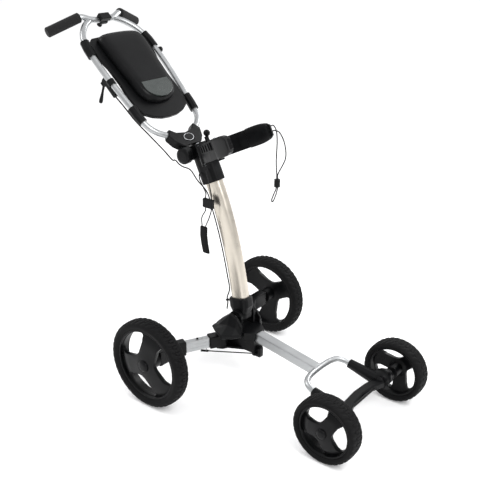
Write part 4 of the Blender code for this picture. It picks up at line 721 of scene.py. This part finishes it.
def ball_mesh(name, centre, radii, finish, segments=40):
    maker = bmesh.new()
    bmesh.ops.create_uvsphere(maker, u_segments=segments, v_segments=segments // 2, radius=1.0)
    bmesh.ops.scale(maker, vec=radii, verts=maker.verts)
    bmesh.ops.translate(maker, vec=centre, verts=maker.verts)
    return new_object(name, mesh_from(maker, name), finish)


def make_front_fairings():
    """The full, rounded housings where the front yoke's ends meet the axle bracket."""
    for side, label in SIDES:
        shell = ball_mesh(f"axle_housing_{label}", Vector((side * 0.128, -0.5790, 0.107)) + SHIFT,
                          (0.037, 0.031, 0.0265), "black_plastic")
        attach(shell, "chassis")


def make_lever():
    """The brake lever: an arm that gets thicker towards its rounded end."""
    pivot, tip = handle_point(-0.1335, 0.3300, -0.0290), handle_point(-0.1335, 0.3040, -0.0850)
    along = (tip - pivot).normalized()
    reach = (tip - pivot).length
    side = Vector((1, 0, 0))
    other = along.cross(side)
    count = 28
    maker = bmesh.new()
    rings = []
    for share, thick, deep in ((-0.075, 0.0010, 0.0020), (-0.06, 0.0022, 0.0044), (0.0, 0.0026, 0.0056),
                               (0.20, 0.0027, 0.0050), (0.36, 0.0030, 0.0042), (0.50, 0.0036, 0.0042),
                               (0.75, 0.0050, 0.0054), (0.95, 0.0062, 0.0066), (1.06, 0.0060, 0.0062),
                               (1.10, 0.0044, 0.0046), (1.12, 0.0015, 0.0016)):
        middle = pivot + along * reach * share
        turns = [2 * math.pi * k / count for k in range(count)]
        rings.append([maker.verts.new(middle + side * thick * math.cos(turn) + other * deep * math.sin(turn))
                      for turn in turns])
    skin(maker, rings, capped=True)
    lever = new_object("brake_lever_moulded", mesh_from(maker, "lever"), "black_plastic")
    stand_for(lever, "brake_lever", "black_plastic", "brake_lever")


def make_leg_buttons():
    """The small spring button on top of each rear leg."""
    sweep = math.radians(26.0)
    for side, label in SIDES:
        place = Vector((side * 0.052, -0.078, 0.145)) + SHIFT
        place += Vector((side * math.cos(sweep), math.sin(sweep), 0)) * 0.088
        place.z = top_of(f"rear_leg_{label}")
        button = ball_mesh(f"leg_button_{label}", place, (0.0042, 0.0042, 0.0026), "black_plastic", 24)
        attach(button, f"rear_leg_{label}")


def top_of(node):
    return max(vertex.co.z for vertex in frame["nodes"][node].data.vertices)


def lid_shell(name, rows, top):
    """A closed loft through the lid's outline; rows are (scale, height) and top closes it."""
    half = [(0.0, 0.1960), (0.030, 0.1985), (0.056, 0.2090), (0.072, 0.2290), (0.079, 0.2600),
            (0.084, 0.3200), (0.089, 0.3800), (0.092, 0.4300), (0.089, 0.4600), (0.074, 0.4740),
            (0.040, 0.4790), (0.0, 0.4800)]
    half = [(p.x, p.y) for p in smooth_path([Vector((x, along, 0)) for x, along in half], 44)]
    outline = half + [(-x, along) for x, along in reversed(half[1:-1])]
    middle = 0.3400
    rows = [(p.x, p.y) for p in smooth_path([Vector((grow, out, 0)) for grow, out in rows], 26)]
    maker = bmesh.new()
    rings = [[maker.verts.new(handle_point(x * grow, middle + (along - middle) * grow, out))
              for x, along in outline] for grow, out in rows + list(top)]
    skin(maker, rings, capped=True)
    return new_object(name, mesh_from(maker, name), "console_plastic")


def lens_outline(grow):
    """A straight edge closed by half an ellipse, in the handle's (x, along), larger by grow."""
    outline = [(0.058 + grow, 0.2690 + grow), (-0.058 - grow, 0.2690 + grow)]
    for k in range(41):
        angle = math.pi + math.pi * k / 40
        outline.append(((0.060 + grow) * math.cos(angle), 0.2500 + (0.046 + grow) * math.sin(angle)))
    return outline


def lens_slab(name, grow, low, high, finish, dome=0.0):
    """A plate on the lens's outline from low to high, with a slightly domed top."""
    middle, soft = 0.245, 0.0006
    maker = bmesh.new()
    levels = [(0.0, low), (0.0, high - soft), (-soft, high)]
    rings = [[maker.verts.new(handle_point(x, along, out)) for x, along in lens_outline(grow + shrink)]
             for shrink, out in levels]
    for share in (0.8, 0.6, 0.4, 0.2):
        rings.append([maker.verts.new(handle_point(x * share, middle + (along - middle) * share,
                                                   high + dome * (1 - share ** 2)))
                      for x, along in lens_outline(grow - soft)])
    skin(maker, rings, capped=True)
    return new_object(name, mesh_from(maker, name), finish)


def make_lid():
    """The console lid as one soft-shouldered moulding round a slightly domed smoked lens."""
    lid = lid_shell("console_lid_moulded", [
        (0.985, 0.0066), (1.0, 0.0100), (0.99, 0.0180), (0.960, 0.0265), (0.900, 0.0328), (0.80, 0.0356)],
        ((0.60, 0.0360), (0.30, 0.0362)))
    hollow = lid_shell("lid_hollow", [
        (0.950, 0.0000), (0.950, 0.0160), (0.915, 0.0235), (0.84, 0.0295), (0.70, 0.0325)], ())
    window = lens_slab("lid_window", 0.0006, 0.019, 0.049, "console_plastic")
    for tool in (hollow, window):
        cut_with(lid, tool)
    bake(lid, (hollow, window))
    stand_for(lid, "console_lid", "console_plastic", "console_lid")
    pane = lens_slab("lens_pane", 0.0, 0.0310, 0.0362, "smoked_lens", 0.0008)
    stand_for(pane, "console_lid", "smoked_lens", "console_lens")


def make_yoke():
    """The bent tube in front, from one side of the axle bracket round to the other."""
    knots = [(-0.1035, -0.4735, 0.1300), (-0.0985, -0.4540, 0.1362), (-0.0850, -0.4385, 0.1410),
             (-0.0600, -0.4285, 0.1412), (-0.0300, -0.4243, 0.1404)]
    knots += [(0.0, -0.4232, 0.1400)] + [(-x, y, z) for x, y, z in reversed(knots)]
    path = smooth_path([Vector(knot) + SHIFT for knot in knots], 80)
    yoke = tube_mesh("front_yoke_bent", path, 0.0093, "aluminium")
    stand_for(yoke, "chassis", "aluminium", "front_yoke")


make_lid()
make_yoke()
make_badge()
make_arm_caps()
make_front_fairings()
make_lever()
make_leg_buttons()


# ---- finishes on the CAD pieces -----------------------------------------------------------------
for ENTRY in frame["record"]["subparts"]:
    NODE = frame["nodes"][ENTRY["node"]]
    if not NODE.hide_render:
        NODE.data.materials.clear()
        BLACKENED = ENTRY["node"] in ("fold_link_left", "fold_link_right", "front_axle")
        NODE.data.materials.append(FINISH["black_steel" if BLACKENED else ENTRY["material_slot"]])


# ---- studio -------------------------------------------------------------------------------------
def make_studio():
    scene = bpy.context.scene
    scene.view_settings.view_transform = "Standard"
    world = bpy.data.worlds.new("studio")
    scene.world = world
    world.use_nodes = True
    tree = world.node_tree
    back = tree.nodes["Background"]
    back.inputs["Strength"].default_value = 1.0
    source = tree.nodes.new("ShaderNodeTexCoord")
    split = tree.nodes.new("ShaderNodeSeparateXYZ")
    ramp = tree.nodes.new("ShaderNodeValToRGB")
    horizon, above = ramp.color_ramp.elements
    for stop, place, level in ((horizon, 0.0, 0.55), (above, 0.55, 1.0)):
        stop.position = place
        stop.color = (level, level, level * 1.01, 1.0)
    tree.links.new(source.outputs["Generated"], split.inputs["Vector"])
    tree.links.new(split.outputs["Z"], ramp.inputs["Fac"])
    tree.links.new(ramp.outputs["Color"], back.inputs["Color"])
    maker = bmesh.new()
    bmesh.ops.create_grid(maker, x_segments=1, y_segments=1, size=120.0)
    floor = bpy.data.objects.new("floor", mesh_from(maker, "floor"))
    scene.collection.objects.link(floor)
    paper = Nodes("paper")
    paper.value(roughness=0.9, emission_color=(1.0, 1.0, 1.0, 1.0), emission_strength=0.16)
    paper.tint(paper.noise(paper.coordinates(), 3.0), (0.885, 0.885, 0.885), (0.90, 0.90, 0.90))
    floor.data.materials.append(paper.material)
    for name, place, size, power in (("key", (-0.6, -2.6, 3.0), 1.8, 70.0),
                                     ("side", (2.8, -0.6, 2.0), 1.2, 30.0),
                                     ("rim", (-1.0, 2.8, 2.6), 1.6, 40.0)):
        data = bpy.data.lights.new(name, "AREA")
        data.shape = "DISK"
        data.size = size
        data.energy = power
        lamp = bpy.data.objects.new(name, data)
        lamp.location = place
        lamp.rotation_euler = (Vector((0, 0, 0.5)) - Vector(place)).to_track_quat("-Z", "Y").to_euler()
        scene.collection.objects.link(lamp)


make_studio()
